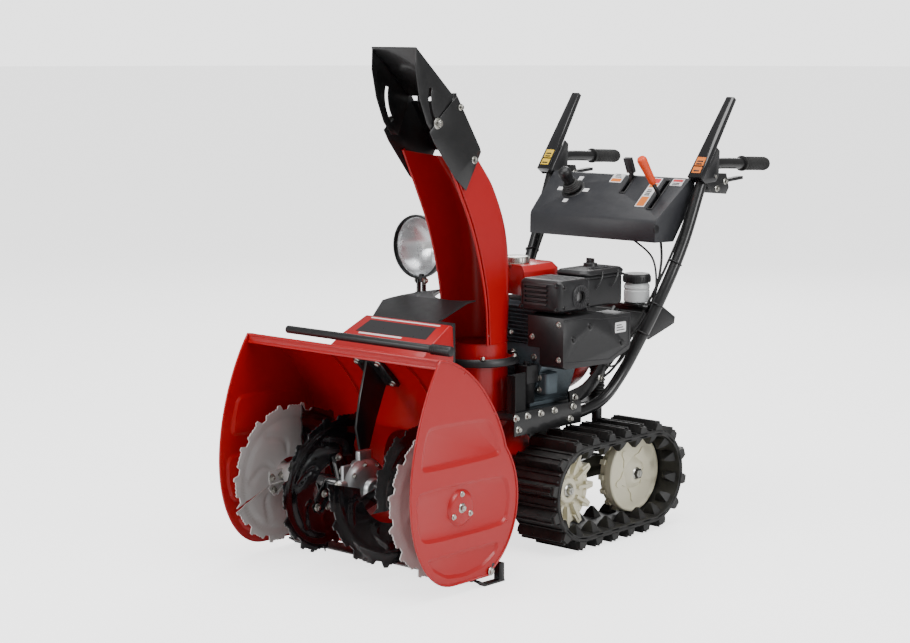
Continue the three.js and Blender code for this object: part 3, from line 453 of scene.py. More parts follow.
ORANGE_FILM = Finish("orange_film", "orange_plastic", (0.8, 0.2, 0.02), 0.4, Texture.SMOOTH)
RED_FILM = Finish("red_film", "red_paint", (0.7, 0.03, 0.04), 0.4, Texture.SMOOTH)
YELLOW_FILM = Finish("yellow_film", "orange_plastic", (0.75, 0.5, 0.04), 0.4, Texture.SMOOTH)


# ---- Forms ----


class Form:
    """A shape in the making."""

    def __init__(self) -> None:
        """Starts empty."""
        self.bm = bmesh.new()

    def skin(self, rows: Sequence[Sequence[Point]], wrap_rows: bool = False, wrap: bool = False) -> "Form":
        """Joins rows of points with faces.

        Args:
            rows: rows with the same number of points each.
            wrap_rows: the last row joins the first.
            wrap: the last point of each row joins its first.

        Returns:
            The form.
        """
        grid = [[self.bm.verts.new(p) for p in row] for row in rows]
        tall, wide = len(grid), len(grid[0])
        for i in range(tall if wrap_rows else tall - 1):
            for j in range(wide if wrap else wide - 1):
                near, far, k = grid[i], grid[(i + 1) % tall], (j + 1) % wide
                self.bm.faces.new((near[j], near[k], far[k], far[j]))
        return self

    def loft(self, rows: Sequence[Sequence[Point]]) -> "Form":
        """Joins closed rings of points and closes both ends."""
        self.skin(rows, wrap=True)
        self.bm.verts.ensure_lookup_table()
        wide, total = len(rows[0]), len(self.bm.verts)
        start = total - wide * len(rows)
        self.bm.faces.new(self.bm.verts[start:start + wide])
        self.bm.faces.new(self.bm.verts[total - wide:])
        return self

    def lathe(self, axis: str, centre: Point, profile: Sequence[Pair], segments: int = 48) -> "Form":
        """Turns a profile of (radius, place along the axis) round an axis through a point."""
        rows = []
        for i in range(segments):
            angle = 2 * math.pi * i / segments
            c, s = math.cos(angle), math.sin(angle)
            rows.append([Vector(centre) + lift(axis, (r * c, r * s), h) for r, h in profile])
        return self.skin(rows, wrap_rows=True)

    def rod(self, axis: str, centre: Point, start: float, end: float, radius: float,
            segments: int = 28, edge: float = 1.2) -> "Form":
        """A round bar with eased ends, measured along its axis from a point."""
        profile = [
            (0.0, start), (radius - edge, start), (radius - 0.3 * edge, start + 0.3 * edge),
            (radius, start + edge),
            (radius, end - edge), (radius - 0.3 * edge, end - 0.3 * edge), (radius - edge, end), (0.0, end),
        ]
        return self.lathe(axis, centre, profile, segments)

    def plate(self, axis: str, outline: Sequence[Pair], start: float, end: float,
              holes: Sequence[Sequence[Pair]] = ()) -> "Form":
        """A flat outline with holes, pushed along an axis."""
        loops, edges, twin = [], [], {}
        for loop in (outline, *holes):
            verts = [self.bm.verts.new(lift(axis, p, start)) for p in loop]
            twin.update({v: self.bm.verts.new(lift(axis, p, end)) for v, p in zip(verts, loop)})
            loops.append(verts)
            edges += [self.bm.edges.new(pair) for pair in zip(verts, verts[1:] + verts[:1])]
        filled = bmesh.ops.triangle_fill(self.bm, use_beauty=True, edges=edges)["geom"]
        for face in [g for g in filled if isinstance(g, bmesh.types.BMFace)]:
            self.bm.faces.new([twin[v] for v in reversed(face.verts)])
        for verts in loops:
            for a, b in zip(verts, verts[1:] + verts[:1]):
                self.bm.faces.new((a, b, twin[b], twin[a]))
        return self

    def block(self, low: Point, high: Point) -> "Form":
        """A block between two corners."""
        outline = [(low[0], low[1]), (high[0], low[1]), (high[0], high[1]), (low[0], high[1])]
        return self.plate("z", outline, low[2], high[2])

    def tube(self, line: Sequence[Point], radius: float | Callable[[float], float], sides: int = 16,
             closed: bool = False) -> "Form":
        """A round tube along a line.

        Args:
            line: the points that it follows.
            radius: its radius, or a rule that gives it for a share of the way.
            sides: faces round it.
            closed: the line is a loop.

        Returns:
            The form.
        """
        points = [Vector(p) for p in line]
        count = len(points)
        rings, across = [], None
        for i, point in enumerate(points):
            before = points[i - 1] if closed or i else point
            after = points[(i + 1) % count] if closed or i < count - 1 else point
            along = (after - before).normalized()
            if across is None:
                across = along.orthogonal().normalized()
            across = (across - along * across.dot(along)).normalized()
            side = along.cross(across)
            r = radius(i / (count - 1)) if callable(radius) else radius
            turns = [2 * math.pi * k / sides for k in range(sides)]
            rings.append([point + across * (r * math.cos(a)) + side * (r * math.sin(a)) for a in turns])
        return self.skin(rings, wrap_rows=True, wrap=True) if closed else self.loft(rings)

    def turned(self, turn: Matrix) -> "Form":
        """Moves everything so far."""
        self.bm.transform(turn)
        return self

    def mirrored(self, side: int) -> "Form":
        """Swaps left for right if side is -1."""
        if side < 0:
            self.bm.transform(Matrix.Scale(-1, 4, (1, 0, 0)))
        return self

    def finish(self, name: str, finish: Finish, body: str, *nodes: str, bevel: float = 0.0,
               smooth: float = 32.0, wall: float = 0.0, carve: "Form | None" = None) -> bpy.types.Object:
        """Closes the form into a piece that rides on a body.

        Args:
            name: the piece's name.
            finish: what it is made of.
            body: the body that it moves with.
            nodes: the CAD nodes that it stands for.
            bevel: how far its sharp edges are eased, in millimetres.
            smooth: the angle under which faces share their shading, in degrees.
            wall: the thickness to give an open sheet, in millimetres.
            carve: a form that is cut out of it.

        Returns:
            The piece.
        """
        piece = self.object(name, finish)
        if wall:
            solid = piece.modifiers.new("wall", "SOLIDIFY")
            solid.thickness = wall * MM
            solid.offset = 0.0
            solid.use_even_offset = False
        if carve is not None:
            tool = carve.object(f"{name}_tool", finish)
            cut = piece.modifiers.new("carve", "BOOLEAN")
            cut.object = tool
            cut.solver = "EXACT"
        if bevel:
            ease = piece.modifiers.new("ease", "BEVEL")
            ease.width = bevel * MM
            ease.segments = 2
            ease.limit_method = "ANGLE"
            ease.angle_limit = math.radians(SHARP_ANGLE)
            ease.harden_normals = False
        settle(piece, smooth)
        if carve is not None:
            bpy.data.objects.remove(tool)
        return seat(piece, finish, body, *nodes)

    def object(self, name: str, finish: Finish) -> bpy.types.Object:
        """The form as a bare object in metres, at the origin."""
        bmesh.ops.remove_doubles(self.bm, verts=self.bm.verts, dist=0.02)
        bmesh.ops.dissolve_degenerate(self.bm, edges=self.bm.edges, dist=0.01)
        bmesh.ops.recalc_face_normals(self.bm, faces=self.bm.faces)
        self.bm.transform(HOME)
        mesh = bpy.data.meshes.new(name)
        self.bm.to_mesh(mesh)
        self.bm.free()
        mesh.materials.append(finish.material())
        piece = bpy.data.objects.new(name, mesh)
        bpy.context.scene.collection.objects.link(piece)
        return piece


def settle(piece: bpy.types.Object, smooth: float) -> None:
    """Applies a piece's modifiers and shades it smooth up to an angle."""
    if piece.modifiers:
        bpy.context.view_layer.update()
        graph = bpy.context.evaluated_depsgraph_get()
        mesh = bpy.data.meshes.new_from_object(piece.evaluated_get(graph))
        piece.modifiers.clear()
        piece.data = mesh
    piece.data.polygons.foreach_set("use_smooth", [True] * len(piece.data.polygons))
    piece.data.set_sharp_from_angle(angle=math.radians(smooth))


def seat(piece: bpy.types.Object, finish: Finish, body: str, *nodes: str) -> bpy.types.Object:
    """Rides a piece on its body and the nodes it stands for, and reports it."""
    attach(piece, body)
    if nodes:
        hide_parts(*nodes)
    log.info("%s: %s faces on %s", piece.name, len(piece.data.polygons), body)
    return piece


def eased(node: str, finish: Finish, name: str, bevel: float = 1.0, smooth: float = 40.0) -> bpy.types.Object:
    """A CAD node's own shape with its edges eased, standing for the node.

    Args:
        node: the CAD node.
        finish: what it is made of.
        name: the new piece's name.
        bevel: how far its edges are eased, in millimetres.
        smooth: the angle under which faces share their shading, in degrees.

    Returns:
        The new piece.
    """
    form = Form()
    form.bm.from_mesh(frame["nodes"][node].data)
    bmesh.ops.remove_doubles(form.bm, verts=form.bm.verts, dist=0.00001)
    bmesh.ops.dissolve_limit(
        form.bm, angle_limit=math.radians(1.0), verts=form.bm.verts, edges=form.bm.edges,
    )
    form.turned(HOME.inverted())
    return form.finish(name, finish, frame["nodes"][node]["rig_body"], node, bevel=bevel, smooth=smooth)


# ---- What repeats: trees of geometry nodes ----


@dataclass(frozen=True)
class Spot:
    """A place for a copy: where it sits, the way it faces, what lies across it and its size."""

    at: Point
    facing: Point
    across: Point = (1.0, 0.0, 0.0)
    size: float = 1.0


def growing_tree(name: str, inputs: dict[str, str]) -> tuple:
    """Starts a tree of geometry nodes that takes points and gives shapes.

    Args:
        name: the tree's name.
        inputs: its named inputs and their kinds.

    Returns:
        Its Nodes, its input node and a function that ends it.
    """
    tree = bpy.data.node_groups.new(name, "GeometryNodeTree")
    tree.interface.new_socket(name="Points", in_out="INPUT", socket_type="NodeSocketGeometry")
    for label, kind in {**inputs, "Finish": "Material"}.items():
        tree.interface.new_socket(name=label, in_out="INPUT", socket_type=f"NodeSocket{kind}")
    tree.interface.new_socket(name="Shapes", in_out="OUTPUT", socket_type="NodeSocketGeometry")
    nodes = Nodes(tree)
    source, sink = nodes.add("NodeGroupInput"), nodes.add("NodeGroupOutput")

    def end(shape: bpy.types.NodeSocket) -> bpy.types.NodeTree:
        """Copies the shape to each point, makes the copies real and gives them their finish."""
        facing = nodes.add("GeometryNodeInputNamedAttribute", data_type="FLOAT_VECTOR")
        across = nodes.add("GeometryNodeInputNamedAttribute", data_type="FLOAT_VECTOR")
        size = nodes.add("GeometryNodeInputNamedAttribute", data_type="FLOAT")
        nodes.feed(facing, Name="facing")
        nodes.feed(across, Name="across")
        nodes.feed(size, Name="size")
        upright = nodes.add("FunctionNodeAlignRotationToVector", axis="Z")
        nodes.feed(upright, Vector=facing.outputs[0])
        turned = nodes.add("FunctionNodeAlignRotationToVector", axis="X", pivot_axis="Z")
        nodes.feed(turned, Rotation=upright.outputs[0], Vector=across.outputs[0])
        copies = nodes.add("GeometryNodeInstanceOnPoints")
        nodes.feed(copies, Points=source.outputs["Points"], Instance=shape, Rotation=turned.outputs[0])
        nodes.feed(copies, Scale=size.outputs[0])
        real = nodes.add("GeometryNodeRealizeInstances")
        nodes.join(copies.outputs[0], real.inputs[0])
        coat = nodes.add("GeometryNodeSetMaterial")
        nodes.feed(coat, Geometry=real.outputs[0], Material=source.outputs["Finish"])
        nodes.join(coat.outputs[0], sink.inputs[0])
        return tree

    return nodes, source, end


def bolt_tree() -> bpy.types.NodeTree:
    """Flange bolts one unit in radius: a chamfered head on a washer, with the stud's end proud."""
    nodes, source, end = growing_tree("Bolts", {"Corners": "Int", "Head": "Float", "Washer": "Float"})
    parts = nodes.add("GeometryNodeJoinGeometry")
    layers = (
        (24, 1.12, source.outputs["Washer"], 0.22, 0.0),
        (source.outputs["Corners"], 1.0, 1.0, source.outputs["Head"], 0.2),
        (source.outputs["Corners"], 0.8, 1.0, 0.14, None), (12, 0.42, 0.5, 0.18, None),
    )
    rise = nodes.maths("ADD", source.outputs["Head"], 0.2)
    for corners, top, bottom, depth, start in layers:
        cone = nodes.add("GeometryNodeMeshCone")
        nodes.feed(cone, Vertices=corners, Radius_Top=top, Radius_Bottom=bottom, Depth=depth)
        move = nodes.add("GeometryNodeTransform")
        offset = nodes.add("ShaderNodeCombineXYZ")
        nodes.feed(offset, Z=rise if start is None else start)
        nodes.feed(move, Geometry=cone.outputs[0], Translation=offset.outputs[0])
        nodes.join(move.outputs[0], parts.inputs[0])
        if start is None:
            rise = nodes.maths("ADD", rise, 0.13)
    return end(parts.outputs[0])


def copy_tree() -> bpy.types.NodeTree:
    """Copies of a maker's shape, one on each point."""
    nodes, source, end = growing_tree("Copies", {"Shape": "Object"})
    shape = nodes.add("GeometryNodeObjectInfo")
    nodes.feed(shape, Object=source.outputs["Shape"])
    return end(shape.outputs["Geometry"])


def ring_tree() -> bpy.types.NodeTree:
    """Rings one unit across their middle line, such as the ribs of a grip or the folds of a boot."""
    nodes, source, end = growing_tree("Rings", {"Thickness": "Float", "Around": "Int"})
    loop = nodes.add("GeometryNodeCurvePrimitiveCircle")
    nodes.feed(loop, Resolution=source.outputs["Around"], Radius=1.0)
    section = nodes.add("GeometryNodeCurvePrimitiveCircle")
    nodes.feed(section, Resolution=8, Radius=source.outputs["Thickness"])
    sweep = nodes.add("GeometryNodeCurveToMesh")
    nodes.feed(sweep, Curve=loop.outputs[0], Profile_Curve=section.outputs[0])
    return end(sweep.outputs[0])


TREES = {"bolts": bolt_tree(), "copies": copy_tree(), "rings": ring_tree()}


def grow(name: str, tree: str, spots: Sequence[Spot], finish: Finish, body: str, *nodes: str,
         smooth: float = 30.0, **inputs: object) -> bpy.types.Object:
    """Grows shapes on spots and keeps them as one plain piece.

    Args:
        name: the piece's name.
        tree: which tree grows it.
        spots: where the shapes go.
        finish: what they are made of.
        body: the body they move with.
        nodes: the CAD nodes they stand for.
        smooth: the angle under which faces share their shading, in degrees.
        inputs: the tree's own sizes.

    Returns:
        The piece.
    """
    mesh = bpy.data.meshes.new(name)
    mesh.from_pydata([HOME @ Vector(spot.at) for spot in spots], [], [])
    for label in ("facing", "across"):
        layer = mesh.attributes.new(label, "FLOAT_VECTOR", "POINT")
        for item, spot in zip(layer.data, spots):
            item.vector = getattr(spot, label)
    layer = mesh.attributes.new("size", "FLOAT", "POINT")
    for item, spot in zip(layer.data, spots):
        item.value = spot.size * MM
    piece = bpy.data.objects.new(name, mesh)
    bpy.context.scene.collection.objects.link(piece)
    grower = piece.modifiers.new("grower", "NODES")
    grower.node_group = TREES[tree]
    inputs["Finish"] = finish.material()
    for item in TREES[tree].interface.items_tree:
        if item.name in inputs:
            grower[item.identifier] = inputs[item.name]
    settle(piece, smooth)
    for label in ("facing", "across", "size"):
        found = piece.data.attributes.get(label)
        if found:
            piece.data.attributes.remove(found)
    return seat(piece, finish, body, *nodes)


def bolts(name: str, spots: Sequence[Spot], body: str, finish: Finish = ZINC, corners: int = 6,
          head: float = 0.75, washer: float = 1.45) -> bpy.types.Object:
    """A set of flange bolts on one body."""
    inputs = {"Corners": corners, "Head": head, "Washer": washer}
    return grow(name, "bolts", spots, finish, body, smooth=25.0, **inputs)


def copies(name: str, shape: Form, spots: Sequence[Spot], finish: Finish, body: str, *nodes: str,
           smooth: float = 30.0, bevel: float = 0.0) -> bpy.types.Object:
    """Copies of a form drawn in millimetres about its own origin."""
    shape.turned(Matrix.Translation((0.0, MIDDLE_Y, 0.0)) @ Matrix.Scale(1000.0, 4))
    model = shape.object(f"{name}_model", finish)
    if bevel:
        ease = model.modifiers.new("ease", "BEVEL")
        ease.width, ease.segments, ease.angle_limit = bevel, 1, math.radians(34)
        settle(model, smooth)
    made = grow(name, "copies", spots, finish, body, *nodes, smooth=smooth, Shape=model)
    bpy.data.objects.remove(model)
    return made


# ---- Auger housing ----


@dataclass
class Housing:
    """The bent wrapper that holds the augers, between two embossed side panels."""

    inside: float = 297.0
    plate: float = 3.0
    arc: float = 187.0
    lip_y: float = -551.0
    lip_top: float = 522.0
    lip_drop: float = 20.0
    floor: float = 21.0
    shaft: Pair = (-481.5, 189.5)
    throat: float = 112.0
    sink: float = 4.4

    def around(self, degrees: float, radius: float) -> Pair:
        """A point at an angle and radius from the auger shaft."""
        return arc(self.shaft, radius, degrees, degrees, 1)[0]

    def wrapper_line(self, grow_by: float) -> list[Pair]:
        """The back and top from the rear bottom corner to the lip, grown outwards."""
        radius = self.arc + grow_by
        back = arc(self.shaft, radius, -60, 38.4, 28)
        top = bezier(
            self.around(38.4, radius), (-352 + grow_by, 380), (-440, 510 + grow_by),
            (self.lip_y, self.lip_top + grow_by), 20,
        )
        return [(-388 + grow_by, self.floor - grow_by), *back, *top[1:]]

    def outline(self, grow_by: float) -> list[Pair]:
        """The egg-shaped outline of a side."""
        low = -645 - grow_by
        front = bezier((self.lip_y, self.lip_top + grow_by), (-612 - grow_by, 432), (low, 320), (low, 226),
            20)
        foot = bezier((low, 226), (low, 110), (-588, self.floor - grow_by), (-508, self.floor - grow_by), 18)
        return [*self.wrapper_line(grow_by), *front[1:], *foot[1:]]

    def wrapper(self) -> None:
        """The bent sheet with its folded lip, throat and hem."""
        half = self.inside - 0.4
        line = [*self.wrapper_line(-0.5), (self.lip_y - 1, self.lip_top - self.lip_drop)]
        inner = inset(line, self.plate)
        inner[0], inner[-1] = (line[0][0] - 3, line[0][1] + 1), (line[-1][0] + 3, line[-1][1])
        inner[-2] = (self.lip_y + 2.4, self.lip_top - 4)
        sheet = Form().plate("x", [*line, *reversed(inner)], -half, half)
        throat = Form().rod("y", (0, 0, self.shaft[1]), -360, -250, self.throat, 64)
        sheet.finish("housing_wrapper", RED, "frame", "auger_housing", carve=throat, bevel=0.8)
        hem = Form().rod("x", (0, self.lip_y - 0.5, self.lip_top - self.lip_drop), -half, half, 3.4, 20)
        hem.rod("x", (0, self.lip_y + 1, self.lip_top - 3.5), -half, half, 3.2, 20)
        hem.finish("housing_lip_hem", RED, "frame")
        seams = Form()
        for x in (-118, 118):
            seams.tube([(x, y - 4, z - 3) for y, z in self.wrapper_line(-3)[32:47]], 1.6, 8)
        seams.finish("housing_wrapper_creases", RED, "frame")

    def sunk_panels(self) -> list[tuple[list[Pair], float]]:
        """The stamped areas of a side: each outline and how wide its slope is."""
        return [
            ([(-590, 384), (-389, 377), (-362, 330), (-346, 284), (-614, 283), (-606, 330)], 10.0),
            ([(-626, 248), (-334, 243), (-319, 196), (-331, 125), (-610, 127), (-626, 180)], 8.0),
            ([(-599, 97), (-354, 97), (-368, 66), (-410, 43), (-470, 34), (-530, 40), (-574, 64)], 8.0),
        ]

    @staticmethod
    def eased_corners(loop: list[Pair]) -> list[Pair]:
        """The loop with its corners cut three times over, so that they read as round."""
        for _ in range(3):
            pairs = list(zip(loop, loop[1:] + loop[:1]))
            loop = [
                (a[0] + (b[0] - a[0]) * s, a[1] + (b[1] - a[1]) * s)
                for a, b in pairs for s in ((0.12, 0.88) if len(loop) < 10 else (0.25, 0.75))
            ]
        return loop

    def panel(self, name: str, side: int) -> None:
        """One side: a sheet with stamped areas, a turned rim and the auger bearing."""
        face = self.inside + self.plate - 1.2
        form = Form()
        edges, slopes = [], []
        loops = [self.outline(-0.8)]
        for outline, width in self.sunk_panels():
            outer = self.eased_corners(outline)
            slopes.append((outer, inset(outer, -width), width))
            loops.append(inset(outer, 0.9))
        for loop in loops:
            verts = [form.bm.verts.new(lift("x", p, face)) for p in loop]
            edges += [form.bm.edges.new(pair) for pair in zip(verts, verts[1:] + verts[:1])]
        bmesh.ops.triangle_fill(form.bm, use_beauty=True, edges=edges)
        for outer, inner, width in slopes:
            shares = ((-0.9 / width, 0.0), (0.0, 0.0), (0.2, 0.12), (0.8, 0.88), (1.0, 1.0))
            rows = [
                [lift("x", (a[0] + (b[0] - a[0]) * s, a[1] + (b[1] - a[1]) * s), face - self.sink * d)
                 for a, b in zip(outer, inner)] for s, d in shares
            ]
            form.skin(rows, wrap=True)
            form.bm.faces.new([form.bm.verts.new(p) for p in rows[-1]])
        node = f"side_panel_{name}"
        form.mirrored(side).finish(f"{node}_sheet", RED, "frame", node, wall=2.4, smooth=38.0)
        rim = Form().tube([lift("x", p, face + 1.6) for p in self.outline(-2.4)], 2.5, 10, closed=True)
        rim.mirrored(side).finish(f"{node}_rim", RED, "frame", smooth=60.0)
        y, z = self.shaft
        boss = Form().lathe("x", (face, y, z), [(0, 3), (30, 3), (33, 2.6), (36, 1.2), (41, -3), (41, -6),
            (0, -6)])
        boss.mirrored(side).finish(f"{node}_bearing", RED, "frame")
        spots = [Spot((side * (face + 3), *p), (side, 0, 0), (0, 0, 1), 4.6) for p in
                 [self.around(a, 31) for a in (90, 210, 330)]]
        spots.append(Spot((side * (face + 3), y, z), (side, 0, 0), (0, 0.3, 1), 7.6))
        bolts(f"{node}_bearing_bolts", spots, "frame", head=0.5)
        rivets = [Spot((side * (face + 1.2), *p), (side, 0, 0), (0, 0, 1), 2.6) for p in
                  ((-471, 483), (-374, 382), (-331, 136))]
        bolts(f"{node}_rivets", rivets, "frame", RED, corners=16, head=0.2)

    def stay(self) -> None:
        """The black plate that holds the gearbox, with its bolts."""
        eased("gearbox_stay", BLACK, "gearbox_stay_plate", 1.2)
        down, across = math.sin(0.8), math.cos(0.8)
        spots = []
        for x, along in ((-32, -44), (32, -44), (-32, 26), (32, 26)):
            y, z = -444 + along * across + 15 * down, 454 - along * down - 15 * across
            spots.append(Spot((x, y, z), (0, -down, -across), (1, 0, 0), 6.2))
        bolts("gearbox_stay_bolts", spots, "frame")

    def base(self) -> None:
        """Scraper and skid shoes, with a dark patch of painted shade for each shoe's slot."""
        eased("scraper_blade", STEEL, "scraper_edge", 0.6)
        for name, side in SIDES.items():
            eased(f"skid_shoe_{name}", BLACK, f"skid_shoe_{name}_plate", 1.2)
            spots = [Spot((side * 303.4, -388, 31), (side, 0, 0), (0, 0, 1), 6.4)]
            bolts(f"skid_shoe_{name}_bolt", spots, "frame", head=0.5, washer=1.5)
            # A thin black plate on the side panel: painted shade where the slot opens, not a part of its own.
            slot_shade = Form().plate("x", rounded((-382, 36), (-373, 48), 3.6), 299.4, 300.2)
            slot_shade.mirrored(side).finish(f"skid_shoe_{name}_slot", PRINT_AND_SHADE_INK, "frame")

    def sign(self) -> None:
        """The red cover above the wrapper and its dark plain panel with two stripes."""
        eased("sign_cover", RED, "belt_sign_cover", 3.0, 60.0)

        def on_cover(x: float, along: float, proud: float) -> Vector:
            """A point of the cover's sloping top."""
            y, z = -404 + 71 * along, 521 + 36 * along
            return Vector((x * (1 - 0.1 * along), y - proud * 0.45, z + proud * 0.89))

        for name, finish, spans in (
            ("sign_dark_panel", PRINT_AND_SHADE_INK, [(-112, 112, 0.2, 0.8, 0.35)]),
            ("sign_stripes", WHITE_FILM, [(-118, 118, 0.88, 0.93, 0.5), (-96, 40, 0.1, 0.17, 0.5)]),
        ):
            form = Form()
            for x0, x1, a0, a1, proud in spans:
                form.loft([[on_cover(x, a, h) for x, a in ((x0, a0), (x1, a0), (x1, a1), (x0, a1))]
                           for h in (proud - 0.5, proud)])
            form.finish(name, finish, "frame")

    def build(self) -> None:
        """Makes the whole housing."""
        self.wrapper()
        for name, side in SIDES.items():
            self.panel(name, side)
        self.stay()
        self.base()
        self.sign()
        eased("blower_casing", RED, "blower_drum", 1.0)
        eased("impeller", RED, "blower_impeller", 1.0)


# ---- Augers ----


@dataclass(frozen=True)
class Flight:
    """One toothed half turn, whose plane moves along the shaft as it goes round."""

    start_x: float
    advance: float
    start: float
    sweep: float
    inner: float
    teeth: int
    thickness: float
    outer: float = 168.0
    cells: int = 20
    rings: int = 15

    def rim(self, share: float) -> float:
        """How far the toothed edge drops at a share of one tooth: a barb, saw notches and a gap."""
        if share < 0.12:
            return 0.5
        if share < 0.68:
            return 5.0 + 7.0 * abs(((share - 0.12) * 7.2) % 1.0 - 0.5)
        return 15.0 if share < 0.9 else 15.0 * (1.0 - share) / 0.1

    def emboss(self, radius: float, turn: float) -> float:
        """The height of the stamped rings and S-shaped ribs at a place."""
        ring = 3.2 * math.exp(-(((radius - self.outer + 34) / 6.5) ** 2))
        reach = (radius - self.inner) / (self.outer - self.inner - 42)
        if not 0.08 < reach < 1.0:
            return ring
        bend = 13.0 * math.sin(math.pi * reach * 1.6)
        gap = (turn + bend) % 58.0 - 29.0
        fade = min(1.0, (reach - 0.08) * 6, (1.0 - reach) * 8)
        return ring + 3.4 * fade * math.exp(-((gap / 5.4) ** 2))

    def form(self, side: int) -> Form:
        """The flight as a closed sheet about the shaft, mirrored on the right."""
        steps = self.teeth * self.cells
        rows = []
        for i in range(steps + 1):
            share = i / steps
            angle = math.radians(self.start + self.sweep * share)
            outer = self.outer - self.rim((i % self.cells) / self.cells)
            front, back = [], []
            for k in range(self.rings + 1):
                radius = self.inner + (outer - self.inner) * k / self.rings
                x = self.start_x + self.advance * share + self.emboss(radius, self.sweep * share)
                y, z = radius * math.cos(angle), radius * math.sin(angle)
                front.append((x + self.thickness / 2, y, z))
                back.append((x - self.thickness / 2, y, z))
            rows.append([*front, *reversed(back)])
        return Form().loft(rows).mirrored(side)


@dataclass
class Augers:
    """The four counter-turning augers and the gearbox between them, about one shaft."""

    shaft: Point = (0.0, -481.5, 189.5)
    tube: float = 16.0
    inner_turn: dict[str, float] = field(default_factory=lambda: {"left": 165.0, "right": 75.0})
    outer_turn: dict[str, float] = field(default_factory=lambda: {"left": 90.0, "right": 25.0})

    def arm(self, form: Form, x: float, degrees: float, length: float, width: float) -> Form:
        """Adds a flat arm with a folded edge from the shaft out to a flight."""
        plate = Form().block((x - 2.5, 0, -width / 2), (x + 2.5, length, width / 2))
        plate.block((x - 9, 10, width / 2 - 3), (x + 2.4, length - 6, width / 2))
        plate.turned(Matrix.Rotation(math.radians(degrees), 4, "X"))
        mesh = bpy.data.meshes.new("arm")
        plate.bm.to_mesh(mesh)
        form.bm.from_mesh(mesh)
        bpy.data.meshes.remove(mesh)
        return form

    def auger(self, name: str, side: int, body: str, finish: Finish, flights: Sequence[Flight],
              span: Pair, tube: float, arms: Sequence[tuple[float, float, float]]) -> None:
        """One auger: its tube, flights, arms and bolts."""
        here = Matrix.Translation(self.shaft)
        node = f"{name}_{'left' if side > 0 else 'right'}"
        for i, flight in enumerate(flights):
            form = flight.form(side).turned(here)
            form.finish(f"{node}_flight_{i + 1}", finish, body, *([node] if not i else []), smooth=42.0)
        form = Form().rod("x", (0, 0, 0), span[0], span[1], tube, 32)
        form.lathe("x", (span[0] + 14, 0, 0), [(0, -10), (tube + 5, -10), (tube + 5, 10), (0, 10)], 32)
        form.lathe("x", (span[1] - 14, 0, 0), [(0, -10), (tube + 5, -10), (tube + 5, 10), (0, 10)], 32)
        spots = []
        for share, length, width in arms:
            for flight in flights:
                x, turn = flight.start_x + flight.advance * share, flight.start + flight.sweep * share
                self.arm(form, x - 3, turn, length, width)
                for reach in (0.42, 0.88):
                    place = Vector((x - 5.6, *arc((0, 0), length * reach, turn, turn, 1)[0]))
                    place.x *= side
                    spots.append(Spot(here @ place, (-side, 0, 0), (0, 1, 0), 6.4))
        form.mirrored(side).turned(here).finish(f"{node}_shaft", finish, body, bevel=0.8)
        bolts(f"{node}_bolts", spots, body)

    def gearbox(self) -> None:
        """The lens-shaped casting with its fins, boss, bolts and neck."""
        lens = [(0, -30), (22, -30), (34, -24), (52, -22), (62, -14), (66, -7), (70, -5), (70, 5), (66, 7),
            (62, 14),
                (52, 22), (34, 24), (22, 30), (0, 30)]
        form = Form().lathe("x", (0, 0, 0), lens, 64)
        form.rod("x", (0, 0, 0), -42, 42, 27, 40, 3.0)
        form.rod("y", (0, 0, 0), 40, 88, 27, 36, 3.0)
        form.rod("y", (0, 0, 16), -80, -40, 13, 32, 2.0)
        form.block((-5, -66, -60), (5, -40, 60))
        form.block((-7, -16, 50), (7, 22, 86))
        form.turned(Matrix.Translation(self.shaft))
        form.finish("gearbox_casting", CAST, "frame", "auger_gearbox", bevel=2.0, smooth=50.0)
        spots = [Spot((0, -561, 205.5), (0, -1, 0), (0, 0, 1), 8.5)]
        for angle in range(20, 380, 40):
            y, z = arc(self.shaft[1:], 58, angle, angle, 1)[0]
            spots += [Spot((side * 17, y, z), (side, 0, 0), (0, 0, 1), 4.6) for side in (1, -1)]
        bolts("gearbox_bolts", spots, "frame", head=0.7)

    def build(self) -> None:
        """Makes the augers and their gearbox."""
        for label, side in SIDES.items():
            start, wide = self.inner_turn[label], self.outer_turn[label]
            inner = (Flight(52, 70, start, 195, 66, 6, 3.2), Flight(126, 70, start + 180, 195, 66, 6, 3.2))
            arms = ((0.16, 78, 34), (0.8, 78, 34))
            self.auger("inner_auger", side, "inner_augers", GLOSS_BLACK, inner, (44, 209), self.tube, arms)
            discs = (Flight(226, 24, wide, 176, 40, 7, 3.0), Flight(256, 24, wide + 180, 176, 40, 7, 3.0))
            arms = ((0.1, 60, 30), (0.9, 60, 30))
            self.auger(
                "outer_auger", side, f"outer_auger_{label}", SILVER, discs, (210, 290), self.tube + 6, arms
            )
        self.gearbox()


# ---- Chute and deflector ----


